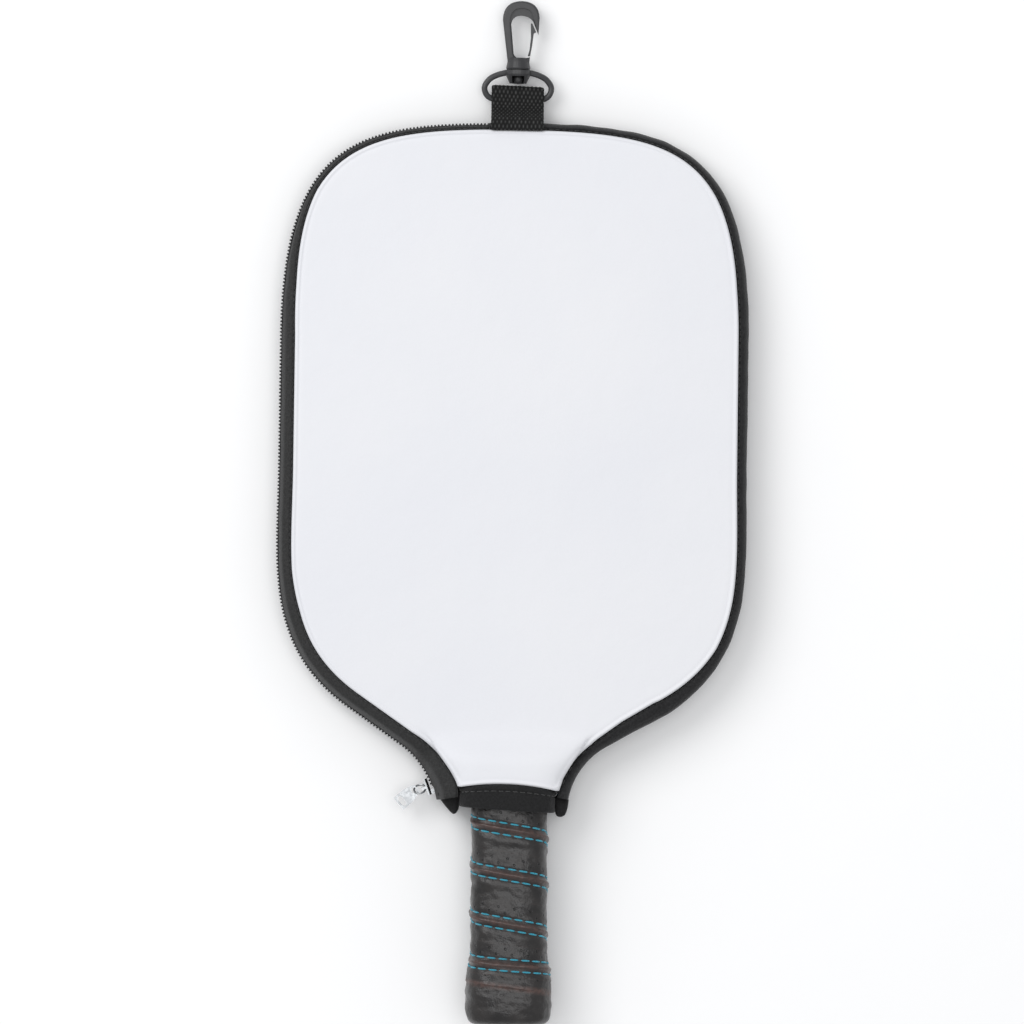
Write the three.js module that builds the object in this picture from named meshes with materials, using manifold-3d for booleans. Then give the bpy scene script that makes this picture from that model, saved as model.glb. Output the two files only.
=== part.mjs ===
// Zipped neoprene paddle case with a swivel snap hook, closed around a racket paddle.
// Millimetres. The case lies on its back: +Z is up through the front panel, +Y runs from
// the handle to the hook, and the origin is under the middle of the whole object.

import * as THREE from 'three';
import { mergeVertices } from 'three/addons/utils/BufferGeometryUtils.js';
import Module from 'manifold-3d';

const wasm = await Module();
wasm.setup();

const DEG = Math.PI / 180;
const GAP = 0.3; // clearance between pieces that touch

// Case, seen from the front.
const CASE_HALF_WIDTH = 107.9;
const HEAD_TOP_Y = 178.9;
const SHOULDER = { x: 72.8, y: -92.2 };
const PANEL_THICKNESS = 3;
const MOUTH_Y = -124.5; // middle of the front panel's lower edge
const MOUTH_PEAK_X = -2.5;
const MOUTH_SAG = 0.0046; // how fast that edge drops away to each side
const NECK_END_Y = -136.5;
const NECK_HALF_WIDTH = 21.8;
const BAND_THICKNESS = 2.6;

// The concave flare from each shoulder into the neck, as an arc beside the neck.
const FLARE = {
  left: { x: 71.2, y: -139.5, radius: 38, start: 124 * DEG, end: 170 * DEG },
  right: { x: 62.8, y: -137.6, radius: 35, start: 120 * DEG, end: 170 * DEG },
};

// Width of the side wall's bulge beyond the front panel, against the way along the outline
// from the top (0) to the neck (1).
const WALL_WIDTH = {
  left: [
    [0, 3.4], [0.25, 4], [0.36, 6.7], [0.42, 7.4], [0.68, 7.5],
    [0.73, 8.5], [0.93, 8.6], [0.97, 10.8], [0.99, 12.4], [1, 11.6],
  ],
  right: [
    [0, 3.5], [0.25, 4], [0.36, 5], [0.7, 4.5], [0.76, 4.8],
    [0.86, 7.9], [0.9, 7.2], [0.94, 5], [1, 5.4],
  ],
};

// Paddle. It leans in the case, because its handle is thicker than its head.
const PADDLE_TILT = 1.37 * DEG;
const PADDLE_YAW = 0.45 * DEG;
const PADDLE_PIVOT_Y = 15;
const PADDLE_PIVOT_Z = 13.66;
const PADDLE_THICKNESS = 13;
const FACE_THICKNESS = 0.6;
const GUARD_WIDTH = 1.5;
const GRIP_START_Y = -119;
const GRIP_WALL = 1.8;
const BUTT_Y = -235.2;
const GRIP_POWER = 3; // roundness of the handle's section

// Zipper.
const COIL_WIDTH = 1.9;
const COIL_HEIGHT = 1.2;
const COIL_SPLIT = 0.7; // half the space between the two coil halves
const ZIP_Z = 10.5;
const ZIP_START = 0.031;
const ZIP_END = 0.985;
const SLIDER_ANGLE = 20 * DEG; // place of the slider on the left flare, at rest

// Webbing loop, swivel ring and snap hook.
const WEBBING_WIDTH = 24.2;
const WEBBING_THICKNESS = 1.6;
const HOOK_Z = 7;
const RING_WIRE = 1.4;
const RING_BAR_Y = 189.9;
const COLLAR_TOP_Y = 203.4;
const HOOK_THICKNESS = 4.8;
const RECESS_DEPTH = 1.1;

// The front folds open along a line from the webbing to the right of the neck's middle.
const HINGE_TOP = new THREE.Vector2(-12.6, 179.5);
const HINGE_BOTTOM = new THREE.Vector2(11, -138);

const materials = {
  whiteNeoprene: { color: 0xecedf1, roughness: 0.85, metalness: 0 },
  blackNeoprene: { color: 0x1c1c1f, roughness: 0.9, metalness: 0 },
  blackTape: { color: 0x232326, roughness: 0.85, metalness: 0 },
  coilNylon: { color: 0x1a1a1c, roughness: 0.45, metalness: 0 },
  zincMetal: { color: 0xb9bcc0, roughness: 0.3, metalness: 1 },
  hookPlastic: { color: 0x2b2c2e, roughness: 0.42, metalness: 0 },
  webbing: { color: 0x161617, roughness: 0.9, metalness: 0 },
  honeycomb: { color: 0xd8d4c8, roughness: 0.7, metalness: 0 },
  carbonFace: { color: 0x26282b, roughness: 0.5, metalness: 0 },
  edgeRubber: { color: 0x141415, roughness: 0.7, metalness: 0 },
  foam: { color: 0x3a3a3c, roughness: 0.9, metalness: 0 },
  gripLeather: { color: 0x1d1a19, roughness: 0.5, metalness: 0 },
};

const paddleCase = new THREE.Group();

function addMesh(group, name, geometry, material) {
  const mesh = new THREE.Mesh(geometry, new THREE.MeshStandardMaterial(materials[material]));
  mesh.name = name;
  group.add(mesh);
  return mesh;
}

// ---------------------------------------------------------------------------------------
// Solids
// ---------------------------------------------------------------------------------------

// A geometry from points and triangles, with its faces turned outwards.
function solidFrom(points, triangles) {
  let volume = 0;
  for (const [a, b, c] of triangles) {
    volume += points[a].dot(new THREE.Vector3().crossVectors(points[b], points[c]));
  }
  const faces = volume < 0 ? triangles.map(([a, b, c]) => [a, c, b]) : triangles;
  const geometry = new THREE.BufferGeometry().setFromPoints(points);
  geometry.setIndex(faces.flat());
  return geometry;
}

// A closed solid through a row of loops that all have the same number of points. The flat
// outline of one loop gives the triangles of both end caps; a ring of loops has no ends.
function loft(loops, capOutline) {
  const size = loops[0].length;
  const points = loops.flat();
  const triangles = [];
  const steps = capOutline ? loops.length - 1 : loops.length;
  for (let i = 0; i < steps; i += 1) {
    const near = i * size;
    const far = ((i + 1) % loops.length) * size;
    for (let j = 0; j < size; j += 1) {
      const next = (j + 1) % size;
      triangles.push([near + j, near + next, far + next], [near + j, far + next, far + j]);
    }
  }
  if (capOutline) {
    const sideCount = triangles.length;
    const clockwise = THREE.ShapeUtils.isClockWise(capOutline);
    const last = (loops.length - 1) * size;
    for (const [a, b, c] of THREE.ShapeUtils.triangulateShape(capOutline, [])) {
      const start = clockwise ? [a, b, c] : [a, c, b];
      triangles.push(start, [last + start[0], last + start[2], last + start[1]]);
    }
    fixCapWinding(triangles, sideCount);
  }
  return solidFrom(points, triangles);
}

// Cap outline of a strip whose section has four corners.
const SQUARE = [[0, 1], [0, 0], [1, 0], [1, 1]].map(([x, y]) => new THREE.Vector2(x, y));

const edgesOf = ([a, b, c]) => [`${a},${b}`, `${b},${c}`, `${c},${a}`];

// Turns the caps over when they disagree with the sides, so that every edge is used once
// in each direction.
function fixCapWinding(triangles, sideCount) {
  const used = new Set(triangles.slice(0, sideCount).flatMap(edgesOf));
  const caps = triangles.slice(sideCount);
  if (caps.flatMap(edgesOf).some((edge) => used.has(edge))) {
    caps.forEach((triangle) => triangle.reverse());
  }
}

// A flat plate from an outline, between two heights.
function plate(outline, bottom, top) {
  const depth = top - bottom;
  const geometry = new THREE.ExtrudeGeometry(new THREE.Shape(outline), { depth, bevelEnabled: false });
  return geometry.translate(0, 0, bottom);
}

function toManifold(geometry) {
  const bare = geometry.index ? geometry.toNonIndexed() : geometry.clone();
  bare.deleteAttribute('normal');
  bare.deleteAttribute('uv');
  const merged = mergeVertices(bare, 1e-4);
  const corners = Array.from(merged.index.array);
  const triVerts = [];
  for (let i = 0; i < corners.length; i += 3) {
    const [a, b, c] = corners.slice(i, i + 3);
    if (a !== b && b !== c && c !== a) {
      triVerts.push(a, b, c);
    }
  }
  return new wasm.Manifold(new wasm.Mesh({
    numProp: 3,
    vertProperties: new Float32Array(merged.attributes.position.array),
    triVerts: new Uint32Array(triVerts),
  }));
}

function fromManifold(manifold) {
  const mesh = manifold.getMesh();
  const geometry = new THREE.BufferGeometry();
  geometry.setAttribute('position', new THREE.Float32BufferAttribute(mesh.vertProperties, 3));
  geometry.setIndex(new THREE.BufferAttribute(mesh.triVerts, 1));
  return geometry;
}

function join(...geometries) {
  return fromManifold(geometries.map(toManifold).reduce((whole, piece) => whole.add(piece)));
}

function cut(geometry, ...cutters) {
  let whole = toManifold(geometry);
  for (const cutter of cutters) {
    whole = whole.subtract(toManifold(cutter));
  }
  return fromManifold(whole);
}

// A cylinder lying along Y.
function rod(radius, fromY, toY, segments = 24) {
  const geometry = new THREE.CylinderGeometry(radius, radius, toY - fromY, segments);
  return geometry.translate(0, (fromY + toY) / 2, 0);
}

function superellipse(angle, halfWidth, halfHeight, power) {
  const c = Math.cos(angle);
  const s = Math.sin(angle);
  return {
    x: halfWidth * Math.sign(c) * Math.abs(c) ** (2 / power),
    z: halfHeight * Math.sign(s) * Math.abs(s) ** (2 / power),
  };
}

function interpolate(table, t) {
  const next = table.findIndex(([key]) => key >= t);
  if (next < 1) {
    return next === 0 ? table[0][1] : table.at(-1)[1];
  }
  const [t0, v0] = table[next - 1];
  const [t1, v1] = table[next];
  return THREE.MathUtils.lerp(v0, v1, (t - t0) / (t1 - t0));
}

// ---------------------------------------------------------------------------------------
// Case outline and heights
// ---------------------------------------------------------------------------------------

// Half of the case's outline, from the middle of the top edge down to the neck.
function halfOutline(side) {
  const flare = FLARE[side];
  const path = new THREE.Path();
  path.moveTo(0, HEAD_TOP_Y);
  path.bezierCurveTo(70, HEAD_TOP_Y, CASE_HALF_WIDTH, 174, CASE_HALF_WIDTH, 80);
  path.lineTo(CASE_HALF_WIDTH, 20);
  path.bezierCurveTo(CASE_HALF_WIDTH, -26, 114.4, -64.2, SHOULDER.x, SHOULDER.y);
  path.absarc(flare.x, flare.y, flare.radius, flare.start, flare.end, false);
  return path;
}

const OUTLINES = { left: halfOutline('left'), right: halfOutline('right') };

// A point of the outline, with the direction that points out of the case.
function outlineAt(side, t) {
  const sign = side === 'left' ? -1 : 1;
  const point = OUTLINES[side].getPointAt(t);
  const tangent = OUTLINES[side].getTangentAt(t);
  return {
    point: new THREE.Vector2(sign * point.x, point.y),
    outward: new THREE.Vector2(-sign * tangent.y, tangent.x).normalize(),
    width: interpolate(WALL_WIDTH[side], t),
  };
}

function insetPoint(side, t, inset) {
  const place = outlineAt(side, t);
  return place.point.clone().addScaledVector(place.outward, -inset);
}

function paddleMiddle(y) {
  return PADDLE_PIVOT_Z + (PADDLE_PIVOT_Y - y) * Math.tan(PADDLE_TILT);
}

const NECK_MIDDLE_Z = 17.2;
const NECK_POWER = 3.6;
const PADDLE_CLEARANCE = 0.5;
const ARCH_HEIGHT = 14.5; // over the handle, above the middle of the neck
const ARCH_HALF_WIDTH = 25.5;
const ARCH_SPREAD = 0.6; // how fast the arch widens above ARCH_Y
const ARCH_Y = -122;
const ARCH_BLEND = [100, 116]; // distances below the origin where the flat part turns into the arch

// Underside of the front panel: flat over the paddle's head, arched over its handle.
function frontUnderside(x, y) {
  const flat = paddleMiddle(y) + PADDLE_THICKNESS / 2 + PADDLE_CLEARANCE;
  const halfWidth = ARCH_HALF_WIDTH + ARCH_SPREAD * Math.max(0, y - ARCH_Y);
  const across = Math.min(1, Math.abs(x) / halfWidth);
  const arch = NECK_MIDDLE_Z + ARCH_HEIGHT * (1 - across ** NECK_POWER) ** (1 / NECK_POWER);
  return THREE.MathUtils.lerp(flat, arch, THREE.MathUtils.smoothstep(-y, ...ARCH_BLEND));
}

function mouthY(x) {
  return MOUTH_Y - MOUTH_SAG * (x - MOUTH_PEAK_X) ** 2;
}

// ---------------------------------------------------------------------------------------
// Panels and walls of the case
// ---------------------------------------------------------------------------------------

const MOUTH_STEPS = 8;
const PANEL_END = { left: 0.991, right: 0.993 };

// Places along half of the outline that every panel and wall shares, so that their
// facets stay parallel. They are closer together in the flare at the neck.
const HEAD_STEPS = 26;
const FLARE_STEPS = 14;
const FLARE_START = 0.87;

function stations(from, to) {
  const all = [];
  for (let i = 0; i < HEAD_STEPS; i += 1) {
    all.push((FLARE_START * i) / HEAD_STEPS);
  }
  for (let i = 0; i <= FLARE_STEPS; i += 1) {
    all.push(THREE.MathUtils.lerp(FLARE_START, 1, i / FLARE_STEPS));
  }
  const margin = 0.002;
  return [from, ...all.filter((t) => t > from + margin && t < to - margin), to];
}

// The panel's outline, inside the walls, anticlockwise from the right of the mouth.
function panelOutline() {
  const edge = (side) => (
    stations(0, PANEL_END[side]).map((t) => insetPoint(side, t, outlineAt(side, t).width)));
  const points = [...edge('right').reverse(), ...edge('left').slice(1)];
  const mouth = [];
  const left = points[points.length - 1].x;
  const right = points[0].x;
  for (let i = 1; i < MOUTH_STEPS; i += 1) {
    const x = THREE.MathUtils.lerp(left, right, i / MOUTH_STEPS);
    mouth.push(new THREE.Vector2(x, mouthY(x)));
  }
  return [...points, ...mouth];
}

const PANEL_CENTRE = new THREE.Vector2(0, 20);
const PANEL_RINGS = [1, 0.985, 0.95, 0.88, 0.8, 0.5];
const RIM_DROP = 0.9;

// A sheet in rings around the middle of the panel, between two height functions.
function sheet(outline, under, over) {
  const count = outline.length;
  const points = [];
  const triangles = [];
  for (const height of [over, under]) {
    for (const ring of PANEL_RINGS) {
      for (const edge of outline) {
        const spot = PANEL_CENTRE.clone().lerp(edge, ring);
        points.push(new THREE.Vector3(spot.x, spot.y, height(spot.x, spot.y, ring)));
      }
    }
    const { x, y } = PANEL_CENTRE;
    points.push(new THREE.Vector3(x, y, height(x, y, 0)));
  }
  const layer = count * PANEL_RINGS.length + 1;
  for (let j = 0; j < count; j += 1) {
    const next = (j + 1) % count;
    for (let i = 0; i < PANEL_RINGS.length - 1; i += 1) {
      const outer = i * count;
      const inner = outer + count;
      const lowOuter = layer + outer;
      const lowInner = layer + inner;
      triangles.push(
        [outer + j, outer + next, inner + next],
        [outer + j, inner + next, inner + j],
        [lowOuter + next, lowOuter + j, lowInner + j],
        [lowOuter + next, lowInner + j, lowInner + next],
      );
    }
    const last = (PANEL_RINGS.length - 1) * count;
    triangles.push(
      [last + j, last + next, layer - 1],
      [layer + last + next, layer + last + j, 2 * layer - 1],
      [next, j, layer + j],
      [next, layer + j, layer + next],
    );
  }
  return solidFrom(points, triangles);
}

// A slab that covers everything on one side of the opening line.
function hingeSideCutter(side) {
  const along = HINGE_BOTTOM.clone().sub(HINGE_TOP).normalize();
  const across = new THREE.Vector2(-along.y, along.x).multiplyScalar(side === 'left' ? -1 : 1);
  const reach = 400;
  const near = across.clone().multiplyScalar(-GAP / 2);
  const far = across.clone().multiplyScalar(reach);
  const start = HINGE_TOP.clone().addScaledVector(along, -reach);
  const end = HINGE_BOTTOM.clone().addScaledVector(along, reach);
  const corners = [[start, near], [end, near], [end, far], [start, far]];
  return plate(corners.map(([place, offset]) => place.clone().add(offset)), -reach, reach);
}

function addPanels() {
  const outline = panelOutline();
  const front = sheet(
    outline,
    frontUnderside,
    (x, y, ring) => frontUnderside(x, y) + PANEL_THICKNESS - (ring === 1 ? RIM_DROP : 0),
  );
  addMesh(paddleCase, 'front_panel_flap', cut(front, hingeSideCutter('right')), 'whiteNeoprene');
  addMesh(paddleCase, 'front_panel_fixed', cut(front, hingeSideCutter('left')), 'whiteNeoprene');
  const back = sheet(outline, (x, y, ring) => (ring === 1 ? RIM_DROP : 0), () => PANEL_THICKNESS);
  addMesh(paddleCase, 'back_panel', back, 'blackNeoprene');
}

// A strip of the side wall. The section gives [distance inside the outline, height] pairs
// from the wall's width and the height of the front panel's edge.
function wallStrip(side, from, to, section) {
  const loops = [];
  let capOutline = null;
  for (const t of stations(from, to)) {
    const place = outlineAt(side, t);
    const edge = place.point.clone().addScaledVector(place.outward, -place.width);
    const top = frontUnderside(edge.x, edge.y) + PANEL_THICKNESS - RIM_DROP;
    const profile = section(place.width, top);
    capOutline ??= profile.map(([inside, z]) => new THREE.Vector2(inside, z));
    loops.push(profile.map(([inside, z]) => {
      const spot = place.point.clone().addScaledVector(place.outward, -inside);
      return new THREE.Vector3(spot.x, spot.y, z);
    }));
  }
  return loft(loops, capOutline);
}

function gussetSection(width, top) {
  const bend = width * 0.35;
  const edge = width - GAP;
  return [
    [edge, top - 0.2], [bend, top - 3.4], [0, ZIP_Z], [bend, 3.4], [edge, 0.9],
    [edge, 3], [bend + 1.8, 5.2], [2, ZIP_Z], [bend + 1.8, top - 5.2], [edge, top - 2.3],
  ];
}

const TAPE_INSIDE = COIL_WIDTH + 0.4;

function frontTapeSection(width, top) {
  const edge = width - GAP;
  return [
    [edge, top - 0.2], [edge * 0.55, top - 1.8],
    [TAPE_INSIDE, ZIP_Z + 4.4], [TAPE_INSIDE, ZIP_Z + COIL_SPLIT],
    [TAPE_INSIDE + 0.8, ZIP_Z + COIL_SPLIT], [TAPE_INSIDE + 0.9, ZIP_Z + 4], [edge, top - 2.3],
  ];
}

function backTapeSection(width) {
  const edge = width - GAP;
  return [
    [edge, 0.9], [edge * 0.55, 1.8],
    [TAPE_INSIDE, ZIP_Z - 4.4], [TAPE_INSIDE, ZIP_Z - COIL_SPLIT],
    [TAPE_INSIDE + 0.8, ZIP_Z - COIL_SPLIT], [TAPE_INSIDE + 0.9, ZIP_Z - 4], [edge, 3],
  ];
}

function coilSection(direction) {
  const near = ZIP_Z + direction * COIL_SPLIT;
  const far = near + direction * COIL_HEIGHT;
  return () => [[0.1, near], [0.1, far], [COIL_WIDTH + 0.1, far], [COIL_WIDTH + 0.1, near]];
}

function addWalls() {
  const margin = 0.002;
  const strips = [
    ['right_gusset', 'right', 0, 1, gussetSection, 'blackNeoprene'],
    ['top_gusset_end', 'left', margin, ZIP_START - margin, gussetSection, 'blackNeoprene'],
    ['front_zipper_tape', 'left', ZIP_START, 1, frontTapeSection, 'blackTape'],
    ['back_zipper_tape', 'left', ZIP_START, 1, backTapeSection, 'blackTape'],
    ['front_zipper_coil', 'left', ZIP_START, ZIP_END, coilSection(1), 'coilNylon'],
    ['back_zipper_coil', 'left', ZIP_START, ZIP_END, coilSection(-1), 'coilNylon'],
  ];
  for (const [name, side, from, to, section, material] of strips) {
    addMesh(paddleCase, name, wallStrip(side, from, to, section), material);
  }
}

// ---------------------------------------------------------------------------------------
// Neck of the case
// ---------------------------------------------------------------------------------------

// Half of the elastic band around the neck, from one angle to another.
function neckBand(fromAngle, toAngle, topEdge) {
  const steps = 20;
  const loops = [];
  for (let i = 0; i <= steps; i += 1) {
    const angle = THREE.MathUtils.lerp(fromAngle, toAngle, i / steps);
    const outer = superellipse(angle, NECK_HALF_WIDTH, NECK_MIDDLE_Z, NECK_POWER);
    const inner = superellipse(
      angle,
      NECK_HALF_WIDTH - BAND_THICKNESS,
      NECK_MIDDLE_Z - BAND_THICKNESS,
      NECK_POWER,
    );
    const top = topEdge(outer.x);
    loops.push([
      new THREE.Vector3(outer.x, top, NECK_MIDDLE_Z + outer.z),
      new THREE.Vector3(outer.x, NECK_END_Y, NECK_MIDDLE_Z + outer.z),
      new THREE.Vector3(inner.x, NECK_END_Y, NECK_MIDDLE_Z + inner.z),
      new THREE.Vector3(inner.x, top, NECK_MIDDLE_Z + inner.z),
    ]);
  }
  return loft(loops, SQUARE);
}

const STUB_TOP_Y = -133.6;
const STUB_HEIGHTS = [5, 22];

// The folded end of the side wall, where it is sewn to the neck bands.
function neckStub(sign, outerX, lowestY) {
  const innerX = NECK_HALF_WIDTH + GAP;
  const outline = [
    [innerX, STUB_TOP_Y], [innerX, lowestY + 0.6], [innerX + 2.2, lowestY],
    [outerX, lowestY + 4], [outerX, STUB_TOP_Y],
  ];
  return plate(outline.map(([x, y]) => new THREE.Vector2(sign * x, y)), ...STUB_HEIGHTS);
}

function addNeck() {
  const seam = 1.5 * DEG;
  const topEdge = (x) => mouthY(x) - GAP;
  const front = neckBand(seam, Math.PI - seam, topEdge);
  addMesh(paddleCase, 'front_neck_band_flap', cut(front, hingeSideCutter('right')), 'blackTape');
  addMesh(paddleCase, 'front_neck_band_fixed', cut(front, hingeSideCutter('left')), 'blackTape');
  addMesh(paddleCase, 'back_neck_band', neckBand(-seam, seam - Math.PI, topEdge), 'blackTape');
  addMesh(paddleCase, 'zipper_end_stub', neckStub(-1, 31.4, -139), 'blackTape');
  addMesh(paddleCase, 'gusset_end_stub', neckStub(1, 28.2, -139.7), 'blackTape');
}

// ---------------------------------------------------------------------------------------
// Zipper slider and its pull, in the slider's own frame: X out of the case, Y along the zip
// ---------------------------------------------------------------------------------------

const SLIDER_LENGTH = 7.6;
const SLIDER_HALF_HEIGHT = 3.3;
const BAIL_X = 4.7; // bar that the link ring hangs on
const BAIL_RADIUS = 0.6;
const LINK_RADIUS = 2.7;
const LINK_WIRE = 0.45;
const LINK_TILT = 45 * DEG;
const LINK_PLAY = 1.3; // from the middle of the bar or the tab's eye to the middle of the wire
const LINK_YAW = -6 * DEG;
const TAB_YAW = 28 * DEG;
const TAB_LENGTH = 9.4;
const TAB_THICKNESS = 0.9;

function box(minX, maxX, minY, maxY, minZ, maxZ) {
  const geometry = new THREE.BoxGeometry(maxX - minX, maxY - minY, maxZ - minZ);
  return geometry.translate((minX + maxX) / 2, (minY + maxY) / 2, (minZ + maxZ) / 2);
}

// Two plates and the wedge between them. The plates are open upwards, so that the upper
// half of the zipper can lift away.
function sliderBody() {
  const half = SLIDER_LENGTH / 2;
  const outerPlate = new THREE.Shape([
    new THREE.Vector2(1.5, -SLIDER_HALF_HEIGHT),
    new THREE.Vector2(2.5, -SLIDER_HALF_HEIGHT),
    new THREE.Vector2(2.6, 0.6),
    new THREE.Vector2(3.2, SLIDER_HALF_HEIGHT),
    new THREE.Vector2(2.5, SLIDER_HALF_HEIGHT),
    new THREE.Vector2(1.5, 0.2),
  ]);
  const outer = new THREE.ExtrudeGeometry(outerPlate, { depth: SLIDER_LENGTH, bevelEnabled: false });
  outer.rotateX(Math.PI / 2).translate(0, half, 0);
  const inner = box(-3.9, -2.9, -half, half, -SLIDER_HALF_HEIGHT + 0.6, 1.6);
  const wedge = box(-3.2, 1.8, half - 2, half, -0.4, 0.4);
  const legEnd = BAIL_X + 0.5;
  const legLow = box(2.2, legEnd, -0.6, 0.6, -3.2, -2.4);
  const legHigh = box(2.6, legEnd, -0.6, 0.6, 2.4, 3.2);
  const bar = new THREE.CylinderGeometry(BAIL_RADIUS, BAIL_RADIUS, 5.6, 12);
  bar.rotateX(Math.PI / 2).translate(BAIL_X, 0, 0);
  return join(outer, inner, wedge, legLow, legHigh, bar);
}

// The pull's tab, with an eye for the link ring at one end and a wide slot at the other.
function pullTab() {
  const shape = new THREE.Shape();
  shape.moveTo(-1.7, -2);
  shape.lineTo(3.1, -3.4);
  shape.lineTo(TAB_LENGTH, -3.6);
  shape.lineTo(TAB_LENGTH, 3.6);
  shape.lineTo(3.1, 3.4);
  shape.lineTo(-1.7, 2);
  const eye = new THREE.Path();
  eye.absellipse(0, 0, 1.35, 1.5, 0, 2 * Math.PI, true);
  const slot = new THREE.Path();
  slot.absellipse(TAB_LENGTH - 2.1, 0, 1.3, 2.8, 0, 2 * Math.PI, true);
  shape.holes.push(eye, slot);
  const geometry = new THREE.ExtrudeGeometry(shape, {
    depth: TAB_THICKNESS,
    bevelEnabled: false,
    curveSegments: 8,
  });
  return geometry.translate(0, 0, -TAB_THICKNESS / 2);
}

function addSlider() {
  const flare = FLARE.left;
  const slider = new THREE.Group();
  const track = flare.radius + 1.1; // middle of the coil, seen from the flare's centre
  slider.position.set(
    -flare.x + track * Math.cos(SLIDER_ANGLE),
    flare.y + track * Math.sin(SLIDER_ANGLE),
    ZIP_Z,
  );
  slider.rotation.z = SLIDER_ANGLE + Math.PI;
  paddleCase.add(slider);
  addMesh(slider, 'slider_body', sliderBody(), 'zincMetal');

  const link = new THREE.Group();
  link.position.set(BAIL_X, 0, 0);
  link.rotation.z = LINK_YAW;
  slider.add(link);
  const wire = new THREE.TorusGeometry(LINK_RADIUS, LINK_WIRE, 8, 24);
  const ring = addMesh(link, 'pull_link_ring', wire, 'zincMetal');
  ring.position.x = LINK_RADIUS - LINK_PLAY;
  ring.rotation.x = LINK_TILT;

  const tab = new THREE.Group();
  tab.position.set(2 * LINK_RADIUS - LINK_PLAY, 0, 0);
  tab.rotation.z = TAB_YAW;
  link.add(tab);
  addMesh(tab, 'pull_tab', pullTab(), 'zincMetal');
}

// ---------------------------------------------------------------------------------------
// Webbing loop, swivel ring and snap hook
// ---------------------------------------------------------------------------------------

// The doubled webbing, seen from its side as [y, z] points: sewn to the front seam, over the
// gusset, and round the ring's bar in a loose loop.
function webbingLoop() {
  const loopEnd = 193;
  const inner = 1.75; // radius inside the loop
  const outer = inner + WEBBING_THICKNESS;
  const shape = new THREE.Shape();
  shape.moveTo(176.2, 19.2);
  shape.lineTo(179.4, 17.2);
  shape.lineTo(182.4, 8.4);
  shape.lineTo(186.6, HOOK_Z - outer);
  shape.lineTo(loopEnd, HOOK_Z - outer);
  shape.absarc(loopEnd, HOOK_Z, outer, -Math.PI / 2, Math.PI / 2, false);
  shape.lineTo(187.4, HOOK_Z + outer);
  shape.lineTo(184.2, 13.4);
  shape.lineTo(180.6, 20.4);
  shape.lineTo(176.2, 22);
  const eye = new THREE.Path();
  eye.moveTo(188.6, HOOK_Z - inner);
  eye.absarc(188.9, HOOK_Z, inner, -Math.PI / 2, Math.PI / 2, true);
  eye.absarc(loopEnd, HOOK_Z, inner, Math.PI / 2, -Math.PI / 2, true);
  shape.holes.push(eye);
  const geometry = new THREE.ExtrudeGeometry(shape, {
    depth: WEBBING_WIDTH,
    bevelEnabled: false,
    curveSegments: 8,
  });
  // The profile's X is the part's Y, its Y is Z, and its depth is X.
  const turn = new THREE.Matrix4().makeBasis(
    new THREE.Vector3(0, 1, 0),
    new THREE.Vector3(0, 0, 1),
    new THREE.Vector3(1, 0, 0),
  );
  return geometry.applyMatrix4(turn).translate(-WEBBING_WIDTH / 2, 0, 0);
}

// The ring's wire, from one side of its collar round the bar to the other side.
function swivelRing() {
  const half = [
    [4.6, 202.4], [9.2, 201.2], [13.2, 199], [15.4, 195.2], [14, 191.4], [10.6, RING_BAR_Y], [5, RING_BAR_Y],
  ];
  const route = [
    ...half.map(([x, y]) => new THREE.Vector3(x, y, 0)),
    ...half.toReversed().map(([x, y]) => new THREE.Vector3(-x, y, 0)),
  ];
  const section = new THREE.Shape();
  section.absellipse(0, 0, RING_WIRE, RING_WIRE, 0, 2 * Math.PI, false);
  const wire = new THREE.ExtrudeGeometry(section, {
    steps: 56,
    curveSegments: 5,
    extrudePath: new THREE.CatmullRomCurve3(route),
  });
  const window = box(-2.9, 2.9, 196, 200.6, 0, 8);
  return cut(join(wire, collar()), rod(1.9, 195, 205), window);
}

// The cup around the hook's post: wide under the hook, narrowing towards the ring's bar.
function collar() {
  const wall = [
    [3.9, 197.3], [5.9, 201.6], [5.9, COLLAR_TOP_Y], [1.8, COLLAR_TOP_Y],
    [1.8, 201.6], [2.9, 201.6], [2.7, 197.3],
  ];
  return new THREE.LatheGeometry([...wall, wall[0]].map(([r, y]) => new THREE.Vector2(r, y)), 28);
}

// The fixed part of the hook: left leg, round head and pointed nose.
function hookFrame() {
  const shape = new THREE.Shape();
  shape.moveTo(-4.7, 205.4);
  shape.lineTo(4.9, 205.4);
  shape.lineTo(5.3, 209.4);
  shape.lineTo(1.8, 208.6);
  shape.quadraticCurveTo(-1.6, 208.6, -2.2, 211);
  shape.lineTo(-3.5, 224.4);
  shape.quadraticCurveTo(-3.2, 228.3, 0.9, 228.5);
  shape.quadraticCurveTo(5, 228.4, 6.6, 225.8);
  shape.lineTo(9.1, 219.7);
  shape.lineTo(9.5, 227.6);
  shape.quadraticCurveTo(9.2, 235, 1.2, 235.2);
  shape.quadraticCurveTo(-7.2, 235, -7.4, 226.6);
  shape.lineTo(-6.4, 218.5);
  const rounding = 0.9;
  const geometry = new THREE.ExtrudeGeometry(shape, {
    depth: HOOK_THICKNESS - 2 * rounding,
    bevelThickness: rounding,
    bevelSize: rounding,
    bevelOffset: -rounding,
    bevelSegments: 3,
    curveSegments: 8,
  });
  geometry.translate(0, 0, rounding - HOOK_THICKNESS / 2);
  const half = HOOK_THICKNESS / 2;
  return cut(geometry, headRecess(half - RECESS_DEPTH, half + 1), headRecess(-half - 1, RECESS_DEPTH - half));
}

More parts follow.
